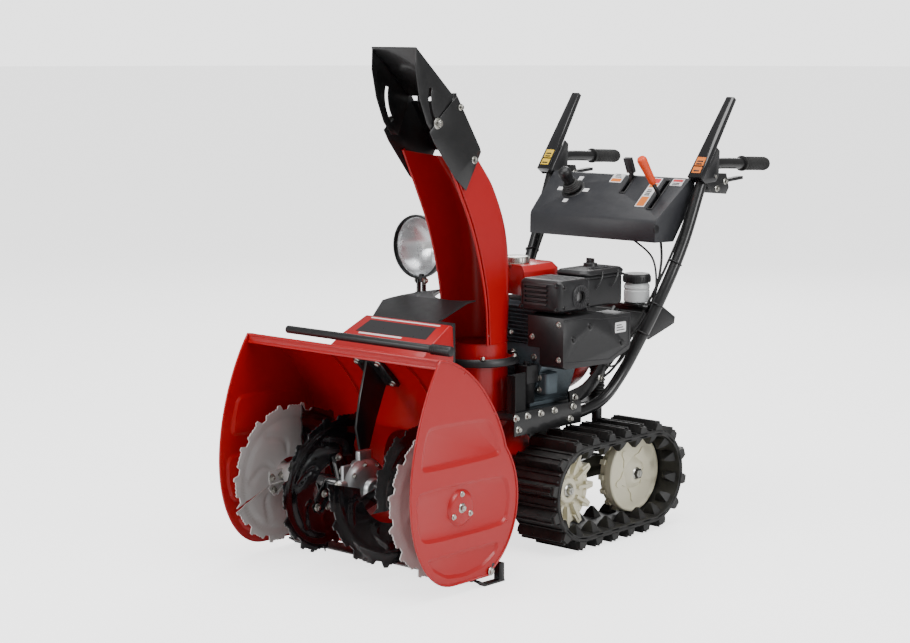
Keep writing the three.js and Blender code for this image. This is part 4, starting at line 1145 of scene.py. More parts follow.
@dataclass
class Chute:
    """The turning chute: a channel with hemmed edges on a round foot."""

    middle_y: float = -92.0
    half: float = 72.0
    top_half: float = 65.0
    flange: float = 90.0
    foot: float = 440.4
    collar: float = 482.0
    back: tuple[Pair, ...] = ((-20, 482), (-21, 610), (-42, 745), (-92, 845), (-152, 920))
    front: tuple[Pair, ...] = ((-134, 482), (-141, 600), (-180, 745), (-226, 845), (-276, 940))

    def section(self, share: float, rear: Vector, lead: Vector) -> list[Vector]:
        """The channel's line at a share of its height, from one front edge round to the other."""
        half = self.half + (self.top_half - self.half) * share - 1.5
        corner = self.half + (22 - self.half) * min(share * 1.25, 1)
        depth, way = (lead - rear).length, (lead - rear).normalized()
        right = [(half, depth + (corner - depth) * k / 5) for k in range(5)]
        right += arc((half - corner, corner), corner, 0, -90, 9)
        flat = [(0.0, 0.0)]
        whole = right + flat + [(-x, d) for x, d in reversed(right)]
        return [Vector((x, *(rear + way * (d + 1.5)))) for x, d in whole]

    def build(self) -> None:
        """Makes the channel, its hems, foot and bolts."""
        rears, leads = through(self.back, 8), through(self.front, 8)
        count = len(rears) - 1
        rows = [self.section(i / count, r, f) for i, (r, f) in enumerate(zip(rears, leads))]
        Form().skin(rows).finish("chute_channel", RED, "chute", "chute", wall=2.6, smooth=50.0)
        hems = Form()
        for end in (0, -1):
            line = [row[end] for row in rows]
            hems.tube([p + Vector((1.2 if p.x > 0 else -1.2, 0, 0)) for p in line], 3.0, 12)
            hems.tube([p + Vector((3.4 if p.x > 0 else -3.4, 7.0, 2.0)) for p in line], 1.9, 10)
        hems.finish("chute_hems", RED, "chute", smooth=60.0)
        foot = [
            (self.half - 3, self.foot), (self.flange, self.foot), (self.flange + 1, self.foot + 1.5),
            (self.flange, self.foot + 3), (self.half + 4, self.foot + 3.4), (self.half + 1, self.foot + 6),
            (self.half, self.collar), (self.half + 1.6, self.collar + 2), (self.half - 3, self.collar + 2),
        ]
        Form().lathe("z", (0, self.middle_y, 0), foot, 72).finish("chute_foot", RED, "chute")
        spots = [Spot((side * 67, *p), (side, 0, 0), (0, 0, 1), 4.4) for side in (1, -1) for p in
                 ((-128, 505), (-44, 505), (-238, 880))]
        bolts("chute_bolts", spots, "chute")


@dataclass
class Deflector:
    """Two black folded plates that bend the snow down, each on its hinge."""

    half: float = 70.0
    plate: float = 2.6
    lower_hinge: Pair = (-147, 937)
    upper_hinge: Pair = (-232, 1066)
    lower_side: tuple[Pair, ...] = (
        (-212, 849), (-160, 936), (-164, 946), (-242, 1066), (-292, 1026), (-334, 988), (-318, 962),
        (-250, 880),
    )
    upper_side: tuple[Pair, ...] = (
        (-374, 1177), (-250, 1066), (-258, 1048), (-290, 975), (-312, 976), (-338, 1006), (-362, 1062),
        (-376, 1126),
    )

    def cheeks(self, form: Form, outline: Sequence[Pair], x: float, holes: Sequence[list[Pair]] = ()) -> Form:
        """Adds both side plates."""
        for low in (x, -x - self.plate):
            form.plate("x", outline, low, low + self.plate, holes)
        return form

    def lower(self) -> None:
        """The lower piece with its back, cheeks, pivots and hinge bar."""
        form = self.cheeks(Form(), self.lower_side, self.half)
        back = [(-168, 935), (-165, 938), (-239, 1053), (-242, 1051)]
        form.plate("x", back, -self.half - 2, self.half + 2)
        ear = [(-226, 1026), (-221, 1030), (-226, 1072), (-238, 1072), (-238, 1042)]
        for x in (52, -56):
            form.plate("x", ear, x, x + 4)
        body = "deflector_lower"
        form.finish("deflector_lower_plates", BLACK, body, "deflector_lower", bevel=1.0)
        bar = Form().rod("x", (0, *self.lower_hinge), -52, 52, 5)
        for x in (-40, 0, 40):
            bar.rod("x", (0, *self.lower_hinge), x - 10, x + 10, 7.5)
        bar.block((-50, -168, 934), (50, -147, 938.5))
        bar.finish("deflector_lower_hinge", BLACK, body, bevel=0.8)
        x = self.half + self.plate
        spots = [Spot((s * x, y, z), (s, 0, 0), (0, 0, 1), r) for s in (1, -1) for y, z, r in
                 ((-308, 1006, 9.0), (-183, 918, 6.5), (-230, 1040, 5.5))]
        bolts("deflector_pivot_bolts", spots, body)

    def upper(self) -> None:
        """The upper piece with its curved slots, back and knobs."""
        middle = self.upper_hinge
        slot_shade = arc(middle, 102, 168, 216, 14) + arc(middle, 92, 216, 168, 14)
        form = self.cheeks(Form(), self.upper_side, self.half - 4, [slot_shade])
        back = [(-374, 1177), (-251, 1066), (-254, 1063), (-377, 1174)]
        form.plate("x", back, -self.half + 2, self.half - 2)
        body = "deflector_upper"
        form.finish("deflector_upper_plates", BLACK, body, "deflector_upper", bevel=1.0)
        bar = Form().rod("x", (0, *middle), -50, 50, 4.5)
        bar.block((-48, -256, 1063.5), (48, -232, 1066))
        for x in (-34, 34):
            bar.rod("x", (0, *middle), x - 9, x + 9, 7)
        bar.finish("deflector_upper_hinge", BLACK, body, bevel=0.8)

    def build(self) -> None:
        """Makes both pieces."""
        self.lower()
        self.upper()


@dataclass
class ChuteDrive:
    """The ring that the chute turns in, and the motor beside it."""

    middle: Point = (0.0, -92.0, 0.0)

    def build(self) -> None:
        """Makes the ring with its bolts and the motor."""
        ring = [(91, 432), (99, 432), (101, 434), (101, 441), (98, 449), (96, 451), (92.6, 451), (92.6, 444),
            (91, 444)]
        Form().lathe("z", self.middle, ring, 96).finish("chute_ring_moulding", PLASTIC, "frame", "chute_ring")
        spots = []
        for angle in (20, 65, 140, 200, 260, 320):
            x, y = arc((0, -92), 95, angle, angle, 1)[0]
            spots.append(Spot((x, y, 451), (0, 0, 1), (1, 0, 0), 5.4))
        bolts("chute_ring_bolts", spots, "frame")
        eased("chute_drive", PLASTIC, "chute_motor", 2.4, 50.0)


# ---- Lamp ----


@dataclass
class Headlight:
    """A round lamp on a short post, with a bright reflector behind a ribbed lens."""

    centre: Point = (-225.0, -46.0, 688.0)
    radius: float = 77.5

    def lens(self) -> Form:
        """A shallow dome with upright ribs on its outer face."""
        rows = []
        for i in range(25):
            r = 72.2 * i / 24
            ring = []
            for k in range(96):
                x, z = r * math.cos(k * math.pi / 48), r * math.sin(k * math.pi / 48)
                rib = 0.7 * abs(math.sin(x * math.pi / 9)) if abs(x) < 60 else 0.0
                ring.append((x, -13.4 + 5.4 * (r / 72.2) ** 2 - rib * (r < 68), z))
            rows.append(ring)
        rows += [[(x, -7.0, z) for x, _, z in ring] for ring in reversed(rows)]
        return Form().skin(rows, wrap=True).turned(Matrix.Translation(self.centre))

    def build(self) -> None:
        """Makes the bowl, reflector, bulb, lens and post."""
        body = "headlight"
        outside = bezier((77.5, -2), (76, 14), (56, 52), (0, 61), 18)
        inside = bezier((0, 46), (44, 40), (68, 12), (73.2, -5), 14)
        profile = [(75, -14), (77.5, -12.5), *outside, *inside, (73.2, -13)]
        bowl = Form().lathe("y", self.centre, profile, 96)
        bowl.lathe("y", self.centre, [(74, -15.4), (78, -15), (79, -12), (78, -8), (74, -8)], 96)
        bowl.block((-217.6, -59, 602), (-208.4, -51, 622))
        bowl.finish("lamp_bowl", PLASTIC, body, "headlight_bowl", smooth=45.0)
        mirror = bezier((9, 42), (40, 34), (62, 14), (70.5, -4), 16)
        shell = Form().lathe("y", self.centre, [*mirror, (72.4, -4),
            *[(r + 1.2, h + 1.2) for r, h in reversed(mirror)]], 96)
        shell.finish("lamp_reflector_dish", MIRROR, body, smooth=45.0)
        bulb = Form().lathe("y", self.centre, [(0, 8), (6, 10), (8, 16), (8, 30), (5, 42), (0, 42)], 32)
        bulb.finish("lamp_bulb_glass", BULB, body)
        self.lens().finish("lamp_lens_ribbed", GLASS, body, "headlight_lens", smooth=50.0)
        eased("headlight_post", BLACK, "lamp_post", 1.4)
        spots = [Spot((s, -56, 606), (1 if s > -213 else -1, 0, 0), (0, 0, 1), 7.0) for s in (-202, -224)]
        spots.append(Spot((-212, -66, 545), (0, -1, 0), (1, 0, 0), 6.5))
        bolts("lamp_bolts", spots, "frame")


# ---- Engine ----


@dataclass
class Engine:
    """The engine with its tank, air cleaner, covers and starter."""

    side: float = 226.0
    front: float = -46.0
    starter: Point = (0.0, 0.0, 450.0)
    outlet: Point = (216.0, 30.0, 594.0)

    def block(self) -> None:
        """Crankcase, cooling fins and shaft drive plates."""
        eased("engine_block", ENGINE, "engine_crankcase", 2.0)
        fin = Form().block((-76, 10, -1.1), (98, 142, 1.1))
        spots = [Spot((0, 0, 474 + 9.5 * i), (0, 0, 1)) for i in range(10)]
        copies("engine_cooling_fins", fin, spots, ENGINE, "frame")
        plug = Form().rod("x", (0, 60, 520), -104, -70, 9)
        plug.rod("x", (0, 60, 520), -118, -98, 12)
        plug.finish("engine_plug_cap", PLASTIC, "frame")
        spots = [Spot((x, 11, z), (0, -1, 0), (1, 0, 0), 6)
            for x, z in ((-70, 350), (70, 350), (90, 440), (-80, 450))]
        spots += [Spot((104, 13.5, 392), (0, -1, 0), (1, 0, 0), 6),
            Spot((104, 13.5, 362), (0, -1, 0), (1, 0, 0), 6)]
        bolts("engine_bolts", spots, "frame")

    def shroud(self) -> None:
        """The fan cowl with its slotted starter and pull handle."""
        x, _, z = self.starter
        cowl = [(0, 150), (116, 150), (121, 152), (122, 158), (122, 196), (119, 206), (110, 213), (93, 214),
                (91, 222), (84, 228), (74, 230), (30, 231), (27, 227), (0, 227)]
        form = Form().lathe("y", (x, 0, z), cowl, 96)
        form.finish("fan_cowl", RED, "frame", "fan_shroud")
        slat = Form().block((-2.2, -13, 0), (2.2, 13, 1.8))
        spots = []
        for i in range(20):
            a, b = arc((x, z), 52, 18 * i, 18 * i, 1)[0]
            spots.append(Spot((a, 229.4, b), (0, 1, 0), (-(b - z), 0, a - x)))
        copies("starter_vents", slat, spots, PLASTIC, "frame", bevel=0.0004)
        handle = Form().rod("x", (0, 236, 527), -72, -26, 8, 24, 4)
        handle.rod("y", (-49, 0, 527), 222, 236, 6, 20, 2)
        handle.finish("starter_handle", PLASTIC, "frame")
        spots = [Spot((px, 213, pz), (0, 1, 0), (1, 0, 0), 5.5) for px, pz in
                 (arc((x, z), 104, a, a, 1)[0] for a in (35, 145, 215, 325))]
        bolts("starter_bolts", spots, "frame")

    def tank(self) -> None:
        """The red tank, its filler neck and cap."""
        eased("fuel_tank", RED, "fuel_tank_shell", 5.0, 60.0)
        neck = Form().lathe("z", (-6, 58, 0), [(0, 650), (38, 650), (38, 655), (34, 656.2), (0, 656.2)])
        neck.finish("fuel_neck", ZINC, "frame")
        cap = [(0, 656.8), (32, 656.8), (33, 658), (32.4, 668), (30, 672), (24, 673.4), (0, 673.4)]
        Form().lathe("z", (-6, 58, 0), cap, 64).finish("fuel_cap_shell", ZINC, "fuel_cap", "fuel_cap")
        lug = Form().plate("x", [(-2.4, 0), (2.4, 0), (1.4, 1.6), (-1.4, 1.6)], -6, 6)
        spots = []
        for i in range(16):
            px, py = arc((-6, 58), 31.6, 22.5 * i, 22.5 * i, 1)[0]
            spots.append(Spot((px, py, 664), (px + 6, py - 58, 0), (0, 0, 1)))
        copies("fuel_cap_grips", lug, spots, ZINC, "fuel_cap")

    def muffler(self) -> None:
        """The louvred guard over the muffler, its red-hot dark inside and round outlet, with painted shade
        for the outlet's slots.
        """
        eased("muffler_cover", PLASTIC, "muffler_guard", 1.6, 45.0)
        slat = Form().plate("x", [(-3, -2), (0.6, -2.6), (3, 2), (-0.6, 2.6)], -35, 35)
        spots = [Spot((142, self.front - 1.0, 579 + 11 * i), (0, 0, 1), (1, 0, 0)) for i in range(5)]
        copies("muffler_louvres", slat, spots, PLASTIC, "frame", bevel=0.0005)
        shield = Form().plate("y", rounded((106, 580), (178, 622), 3), self.front + 5.2, self.front + 7.5)
        shield.finish("muffler_warm_shield", RED, "frame")
        x, y, z = self.outlet
        ring = [(13, -8), (15, -8), (15, 1), (24, 1.2), (28, 2.4), (30, 1), (30, -3), (13, -3)]
        Form().lathe("x", (x, y, z), ring, 64).finish("muffler_outlet", PLASTIC, "frame")
        Form().rod("x", (0, y, z), x - 14, x - 6, 13.4).finish("muffler_pipe", STEEL, "frame")
        # Dark blocks on the outlet's face: painted shade for the punched slots, not real holes.
        slot_shade_mark = Form().block((-1.3, -4, 0), (1.3, 4, 1.1))
        spots = []
        for i in range(16):
            a, b = arc((y, z), 21, 22.5 * i, 22.5 * i, 1)[0]
            spots.append(Spot((x + 0.8, a, b), (1, 0, 0), (0, -(b - z), a - y)))
        copies("muffler_outlet_slots", slot_shade_mark, spots, PRINT_AND_SHADE_INK, "frame")
        spots = [Spot((x - 0.5, a, b), (1, 0, 0), (0, 0, 1), 4.6)
            for a, b in ((-30, 572), (-30, 620), (58, 572))]
        spots += [Spot((a, self.front, b), (0, -1, 0), (1, 0, 0), 4.6)
            for a, b in ((98, 569), (204, 569), (204, 626))]
        bolts("muffler_bolts", spots, "frame", BLACK)

    def side_cover(self) -> None:
        """The smooth side cover with its seam, screws and plate."""
        eased("engine_side_cover", PLASTIC, "side_cover_moulding", 4.0, 50.0)
        seam = Form()
        line = [(-42, 545), (40, 543), (96, 536), (206, 533)]
        seam.tube([(self.side - 0.4, y, z) for y, z in line], 1.4, 10)
        seam.tube([(self.side - 0.4, y, z) for y, z in [(-40, 446), (130, 436), (203, 462), (206, 530)]], 1.0,
            10)
        seam.finish("side_cover_seams", PLASTIC, "frame")
        spots = [Spot((self.side, y, z), (1, 0, 0), (0, 0, 1), 6.4)
            for y, z in ((-8, 497), (54, 522), (176, 470))]
        bolts("side_cover_screws", spots, "frame", BLACK, corners=20, head=0.3, washer=1.6)
        spots = [Spot((x, self.front, z), (0, -1, 0), (1, 0, 0), 5)
            for x, z in ((132, 500), (212, 452), (212, 535))]
        bolts("side_cover_front_bolts", spots, "frame")
        plate = Form().plate("x", rounded((150, 496), (192, 521), 3), self.side - 0.6, self.side + 0.7)
        plate.finish("side_cover_plate", WHITE_FILM, "frame")
        marks = Form()
        for z in (501, 507, 513):
            marks.plate("x", rounded((155, z), (187 - (z - 501), z + 2.4), 1), self.side, self.side + 0.95)
        marks.finish("side_cover_plate_lines", PRINT_AND_SHADE_INK, "frame")

    def intake(self) -> None:
        """The air cleaner with its rim, ribs and clips."""
        eased("air_cleaner_body", PLASTIC, "air_cleaner_case", 3.0, 60.0)
        eased("air_cleaner_lid", PLASTIC, "air_cleaner_top", 2.0, 60.0)
        loop = [(x, y, 630.6) for x, y in rounded((99, 71), (198.5, 229.5), 17, 8)]
        Form().tube(loop, 2.2, 10, closed=True).finish("air_cleaner_rim", PLASTIC, "frame", smooth=60.0)
        rib = Form().block((-1.2, -34, 0), (1.2, 34, 2.2))
        spots = [Spot((166 + 9 * i, 150, 647), (0, 0, 1)) for i in range(3)]
        copies("air_cleaner_ribs", rib, spots, PLASTIC, "frame", bevel=0.0006)
        clip = Form().tube(through([(199, 110, 604), (203, 118, 616), (204, 128, 632), (200, 134, 644)], 6),
            1.8, 10)
        clip.tube(through([(199, 170, 604), (203, 178, 616), (204, 188, 632), (200, 194, 644)], 6), 1.8, 10)
        clip.finish("air_cleaner_clips", BLACK, "frame")

    def bottle(self) -> None:
        """The milky reservoir with its dark ribbed cap."""
        x, y = 150, 335
        shell = [(0, 547.4), (29, 547.4), (32, 550), (32, 576), (30.6, 578), (30.6, 580), (32, 582),
            (32, 588),
                 (28, 595), (24, 596.4), (0, 596.4)]
        Form().lathe("z", (x, y, 0), shell, 64).finish("reservoir_bottle", MILKY, "frame", "reservoir")
        cap = [(0, 596.8), (33, 596.8), (34, 598), (34, 612), (31, 618), (0, 618.8)]
        Form().lathe("z", (x, y, 0), cap, 64).finish("reservoir_lid", PLASTIC, "reservoir_cap",
            "reservoir_cap")
        rib = Form().block((-1.2, -7, -0.4), (1.2, 7, 1.0))
        spots = []
        for i in range(30):
            px, py = arc((x, y), 34, 12 * i, 12 * i, 1)[0]
            spots.append(Spot((px, py, 605), (px - x, py - y, 0), (-(py - y), px - x, 0)))
        copies("reservoir_lid_ribs", rib, spots, PLASTIC, "reservoir_cap")

    def build(self) -> None:
        """Makes the whole engine."""
        self.block()
        self.shroud()
        self.tank()
        self.muffler()
        self.side_cover()
        self.intake()
        self.bottle()
        eased("belt_cover", PLASTIC, "belt_cover_moulding", 2.0, 60.0)


# ---- Tracks ----


@dataclass
class Track:
    """A rubber track with its lugs and guide teeth, round an ivory sprocket and idler."""

    front: float = -2.0
    rear: float = 262.0
    axle: float = 135.0
    inside: float = 125.0
    outside: float = 268.0
    band: float = 113.0
    lining: float = 101.0
    tip: float = 135.0
    lugs: int = 20

    def place(self, share: float, radius: float) -> tuple[Vector, Vector]:
        """A point of the loop at a share of the way round and a radius, and the way it faces."""
        straight, bend = self.rear - self.front, math.pi * self.band
        way = share * 2 * (straight + bend)
        if way < straight:
            return Vector((0, self.front + way, self.axle + radius)), Vector((0, 0, 1))
        if way < straight + bend:
            angle, y = math.pi / 2 - (way - straight) / self.band, self.rear
        elif way < 2 * straight + bend:
            return Vector((0, self.rear - (way - straight - bend), self.axle - radius)), Vector((0, 0, -1))
        else:
            angle, y = -math.pi / 2 - (way - 2 * straight - bend) / self.band, self.front
        out = Vector((0, math.cos(angle), math.sin(angle)))
        return Vector((0, y, self.axle)) + out * radius, out

    def loop(self, radius: float, steps: int = 32) -> list[Pair]:
        """The stadium outline of the loop at a radius."""
        rear = arc((self.rear, self.axle), radius, -90, 90, steps)
        return [*rear, *arc((self.front, self.axle), radius, 90, 270, steps)]

    def belt(self, name: str, side: int) -> None:
        """The band, its edge cords, its lugs and its inner teeth."""
        node, body = f"track_{name}", "track_chassis"
        form = Form().plate("x", self.loop(self.band), self.inside, self.outside, [self.loop(self.lining)])
        for x in (self.inside + 1, self.outside - 1):
            form.tube([(x, y, z) for y, z in self.loop(self.band - 4)], 3.2, 8, closed=True)
        form.mirrored(side).finish(f"{node}_band", RUBBER, body, node, smooth=40.0)
        grip, reach = self.tip - self.band, (self.outside - self.inside) / 2
        lug = Form()
        profile = [(-15, -1), (15, -1), (13, 8), (9, grip), (5.5, grip + 0.2), (4, grip - 4), (-4, grip - 4),
                   (-5.5, grip + 0.2), (-9, grip), (-13, 8)]
        lug.plate("x", profile, -reach + 7, reach - 7)
        for end in (1, -1):
            tip = [(-13, -10), (13, -10), (13, 5), (9, grip - 6), (-9, grip - 6), (-13, 5)]
            lug.plate("x", tip, end * (reach - 9), end * reach)
            lug.plate("x", [(-15, -1), (15, -1), (11.5, grip - 3), (-11.5, grip - 3)], end * 22, end * 40)
        middle = side * (self.inside + self.outside) / 2
        spots = []
        for i in range(self.lugs):
            point, out = self.place((i + 0.5) / self.lugs, self.band)
            spots.append(Spot((middle, point.y, point.z), out))
        copies(f"{node}_lugs", lug, spots, RUBBER, body, bevel=0.0012)
        tread = Form().plate("y", [(-reach + 3, -0.5), (reach - 3, -0.5), (reach - 6, 3.4),
            (-reach + 6, 3.4)], -2.6, 2.6)
        spots = []
        for i in range(self.lugs):
            for shift in (-0.14, 0.14):
                point, out = self.place(((i + 1 + shift) / self.lugs) % 1.0, self.band)
                spots.append(Spot((middle, point.y, point.z), out))
        copies(f"{node}_bars", tread, spots, RUBBER, body)
        tooth = Form().loft([
            [(x * w, y * w, h) for x, y in ((-19, -13), (19, -13), (19, 13), (-19, 13))]
            for h, w in ((-1, 1.0), (14, 0.62), (25, 0.2))
        ])
        spots = []
        for i in range(self.lugs):
            point, out = self.place((i + 0.5) / self.lugs, self.lining)
            for x in (238, 146):
                spots.append(Spot((side * x, point.y, point.z), -out))
        copies(f"{node}_guide_teeth", tooth, spots, RUBBER, body, bevel=0.001)

    def sprocket(self, name: str, side: int) -> None:
        """The driven wheel with its twelve fingers."""
        node = f"drive_sprocket_{name}"
        centre = (0, self.front, self.axle)
        profile = [(0, 98), (9.2, 98), (9.2, 168), (30, 168), (30, 182), (84, 182), (86, 184), (86, 198),
            (83, 200),
                   (72, 200), (69, 197), (36, 197), (33, 200), (31, 209), (28, 211), (18, 211), (16, 206),
                   (0, 206)]
        form = Form().lathe("x", centre, profile, 96)
        form.mirrored(side).finish(f"{node}_wheel", IVORY, node, node, bevel=0.6)
        finger = Form().plate("x", [(-11, 70), (11, 70), (9, 82), (7.5, 93), (5.5, 97), (-5.5, 97),
            (-7.5, 93), (-9, 82)], -19, 19)
        finger.plate("x", [(-4, 40), (4, 40), (3, 88), (-3, 88)], 10, 22)
        finger.turned(Matrix.Rotation(math.radians(90), 4, "X"))
        spots = []
        for i in range(12):
            angle = math.radians(30 * i)
            out = Vector((0, math.cos(angle), math.sin(angle)))
            spots.append(Spot((side * 188, *centre[1:]), (0, -out.z, out.y), (side, 0, 0)))
        copies(f"{node}_fingers", finger, spots, IVORY, node, bevel=0.0016)
        self.hub_bolt(node, side, centre, node, 210)

    def idler(self, name: str, side: int) -> None:
        """The smooth rear wheel with its star and rim."""
        node = f"idler_wheel_{name}"
        centre = (0, self.rear, self.axle)
        profile = [(10.6, 160), (24, 160), (24, 184), (70, 184), (88, 186), (94, 184), (96, 186), (96, 203),
            (94, 206),
                   (90, 206), (87, 201), (80, 199), (40, 199), (36, 202), (26, 210), (22, 211), (10.6, 211)]
        form = Form().lathe("x", centre, profile, 96)
        form.mirrored(side).finish(f"{node}_wheel", IVORY, node, node, bevel=0.6)
        ray = Form().plate("x", [(-21, 36), (21, 36), (17, 42), (9, 50), (7, 68), (0, 72), (-7, 68), (-9, 50),
            (-17, 42)], -1, 3.0)
        ray.turned(Matrix.Rotation(math.radians(90), 4, "X"))
        spots = []
        for i in range(5):
            angle = math.radians(72 * i + 18)
            out = Vector((0, math.cos(angle), math.sin(angle)))
            spots.append(Spot((side * 199, *centre[1:]), (0, -out.z, out.y), (side, 0, 0)))
        copies(f"{node}_star", ray, spots, IVORY, node, bevel=0.0012)
        tooth = Form().plate("z", [(-7, -6), (7, -6), (7, 6), (-7, 6)], 84, 99)
        spots = []
        for i in range(16):
            angle = math.radians(22.5 * i)
            out = Vector((0, math.cos(angle), math.sin(angle)))
            spots.append(Spot((side * 176, *centre[1:]), out, (side, 0, 0)))
        copies(f"{node}_rim_teeth", tooth, spots, IVORY, node, bevel=0.001)
        back = Form().lathe("x", centre, [(20, 168), (90, 168), (90, 184), (20, 184)], 64)
        back.mirrored(side).finish(f"{node}_back_disc", IVORY, node, bevel=0.6)
        self.hub_bolt(node, side, centre, "track_chassis", 211)

    def hub_bolt(self, node: str, side: int, centre: Point, body: str, x: float) -> None:
        """The zinc bolt in a wheel's middle."""
        bolts(f"{node}_bolt", [Spot((side * x, *centre[1:]), (side, 0, 0), (0, 0.4, 1), 10.5)], body,
            head=0.7)

    def build(self) -> None:
        """Makes both tracks, their wheels and the beams between."""
        for name, side in SIDES.items():
            self.belt(name, side)
            self.sprocket(name, side)
            self.idler(name, side)
        eased("track_frame", BLACK, "track_beams", 1.0)
        eased("lift_cylinder", BLACK, "lift_tube", 0.8, 50.0)


# ---- Frame, handlebar and console ----


@dataclass
class Frame:
    """The frame plates with their bolts, the lift boot and the rear box."""

    def build(self) -> None:
        """Makes the frame's pieces."""
        eased("main_frame", BLACK, "frame_plates", 0.8)
        spots = [Spot((s * 180, y, z), (s, 0, 0), (0, 0, 1), 6.2) for s in (1, -1) for y, z in
                 ((-159, 326), (-118, 326), (-70, 326), (-20, 326), (51, 326), (-150, 298), (40, 298))]
        spots += [Spot((s * 145, y, z), (s, 0, 0), (0, 0, 1), 6.2) for s in (1, -1) for y, z in
                  ((100, 338), (200, 372), (240, 425))]
        spots += [Spot((s * 160, y, 322), (0, 0, 1), (1, 0, 0), 6.2) for s in (1, -1)
            for y in (-130, -60, 30)]
        bolts("frame_bolts", spots, "frame")
        eased("handle_crossbar", BLACK, "crossbar", 1.0, 50.0)
        folds = [Spot((95, 250, 296 + 7.6 * i), (0, 0, 1), (1, 0, 0), 16.4 - 1.6 * (i % 2))
            for i in range(20)]
        boot = grow("lift_boot_folds", "rings", folds, GRIP, "frame", "lift_boot", smooth=60.0,
            Thickness=0.24, Around=24)
        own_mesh(boot)
        eased("rear_box", PLASTIC, "rear_tray", 2.0)


@dataclass
class Handlebar:
    """The two bent tubes with grips, clutch levers and steering levers."""

    radius: float = 14.0
    tube: tuple[Point, ...] = (
        (160, 20, 303), (162, 90, 303), (168, 180, 326), (178, 238, 380), (193, 283, 450), (222, 350, 579),
        (234, 412, 694), (239, 470, 825), (241, 486, 858), (241, 505, 876), (241, 530, 882),
        (241, 645.5, 878),
    )
    grip: tuple[Point, ...] = ((241, 646, 878), (241, 700, 875.5), (241, 757, 872))
    pivot: Pair = (507, 853)

    def side_tube(self, name: str, side: int) -> None:
        """One tube with the bracket that carries its levers."""
        node = f"handle_tube_{name}"
        form = Form().tube(through(self.tube, 6), self.radius, 20).mirrored(side)
        form.finish(f"{node}_bar", BLACK, "frame", node, smooth=50.0)
        ear = [(478, 856), (500, 862), (560, 858), (572, 822), (560, 806), (500, 812), (476, 836)]
        plate = Form().plate("x", ear, 226, 229).plate("x", ear, 253, 256)
        plate.plate("x", [(482, 851), (500, 846), (566, 846), (562, 851), (500, 851)], 228, 254)
        plate.mirrored(side).finish(f"{node}_bracket", BLACK, "frame", bevel=1.0)
        spots = [Spot((side * x, *p), (side * way, 0, 0), (0, 0, 1), 5.6)
            for x, way in ((256, 1), (226, -1)) for p in
                 (self.pivot, (556, 838), (520, 822))]
        bolts(f"{node}_bolts", spots, "frame")

    def hand_grip(self, name: str, side: int) -> None:
        """A rubber grip: flanged at the front, round at the end, with ribs along it."""
        def girth(share: float) -> float:
            """The grip's radius along its length."""
            if share < 0.06:
                return 19.5
            return 15.8 + 1.0 * math.sin(share * math.pi) if share < 0.97 else 13.0
        line = through(self.grip, 24)
        form = Form().tube(line, girth, 28).mirrored(side)
        form.finish(f"grip_{name}_sleeve", GRIP, "frame", f"grip_{name}", smooth=50.0)
        spots = []
        for i in range(14):
            point = line[4 + i * 3]
            spots.append(Spot((side * point.x, point.y, point.z), (0, 1, -0.05), (1, 0, 0), 16.4))
        grow(f"grip_{name}_ribs", "rings", spots, GRIP, "frame", smooth=60.0, Thickness=0.07, Around=28)

    def lever_point(self, side: int, x: float, along: float, height: float) -> Vector:
        """A point of a clutch lever, measured along it and above its foot."""
        turn = Matrix.Rotation(math.radians(54), 4, "X")
        y, z = self.pivot
        return Matrix.Translation((0, y, z)) @ turn @ Vector((side * x, along, height))

    def clutch(self, name: str, side: int, film: Finish) -> None:
        """A folded clutch lever with a plain coloured mark."""
        node = f"clutch_lever_{name}"
        eased(node, GLOSS_BLACK, f"{node}_arm", 3.0, 45.0)
        mark = Form()
        for low, high in ((-26, -8), (-4, 20)):
            corners = [(229, low), (254, low), (254, high), (229, high)]
            mark.loft([[self.lever_point(side, x, a, h) for x, a in corners] for h in (53.0, 55.1)])
        mark.finish(f"{node}_mark", film, node)
        bars = Form()
        for low in (-22, -2, 6):
            corners = [(233, low), (250, low), (250, low + 4), (233, low + 4)]
            bars.loft([[self.lever_point(side, x, a, h) for x, a in corners] for h in (54.0, 55.4)])
        bars.finish(f"{node}_mark_bars", PRINT_AND_SHADE_INK, node)

    def build(self) -> None:
        """Makes both sides."""
        for name, side, film in (("left", 1, ORANGE_FILM), ("right", -1, YELLOW_FILM)):
            self.side_tube(name, side)
            self.hand_grip(name, side)
            self.clutch(name, side, film)
            eased(f"steering_lever_{name}", PLASTIC, f"steering_lever_{name}_trigger", 1.6)


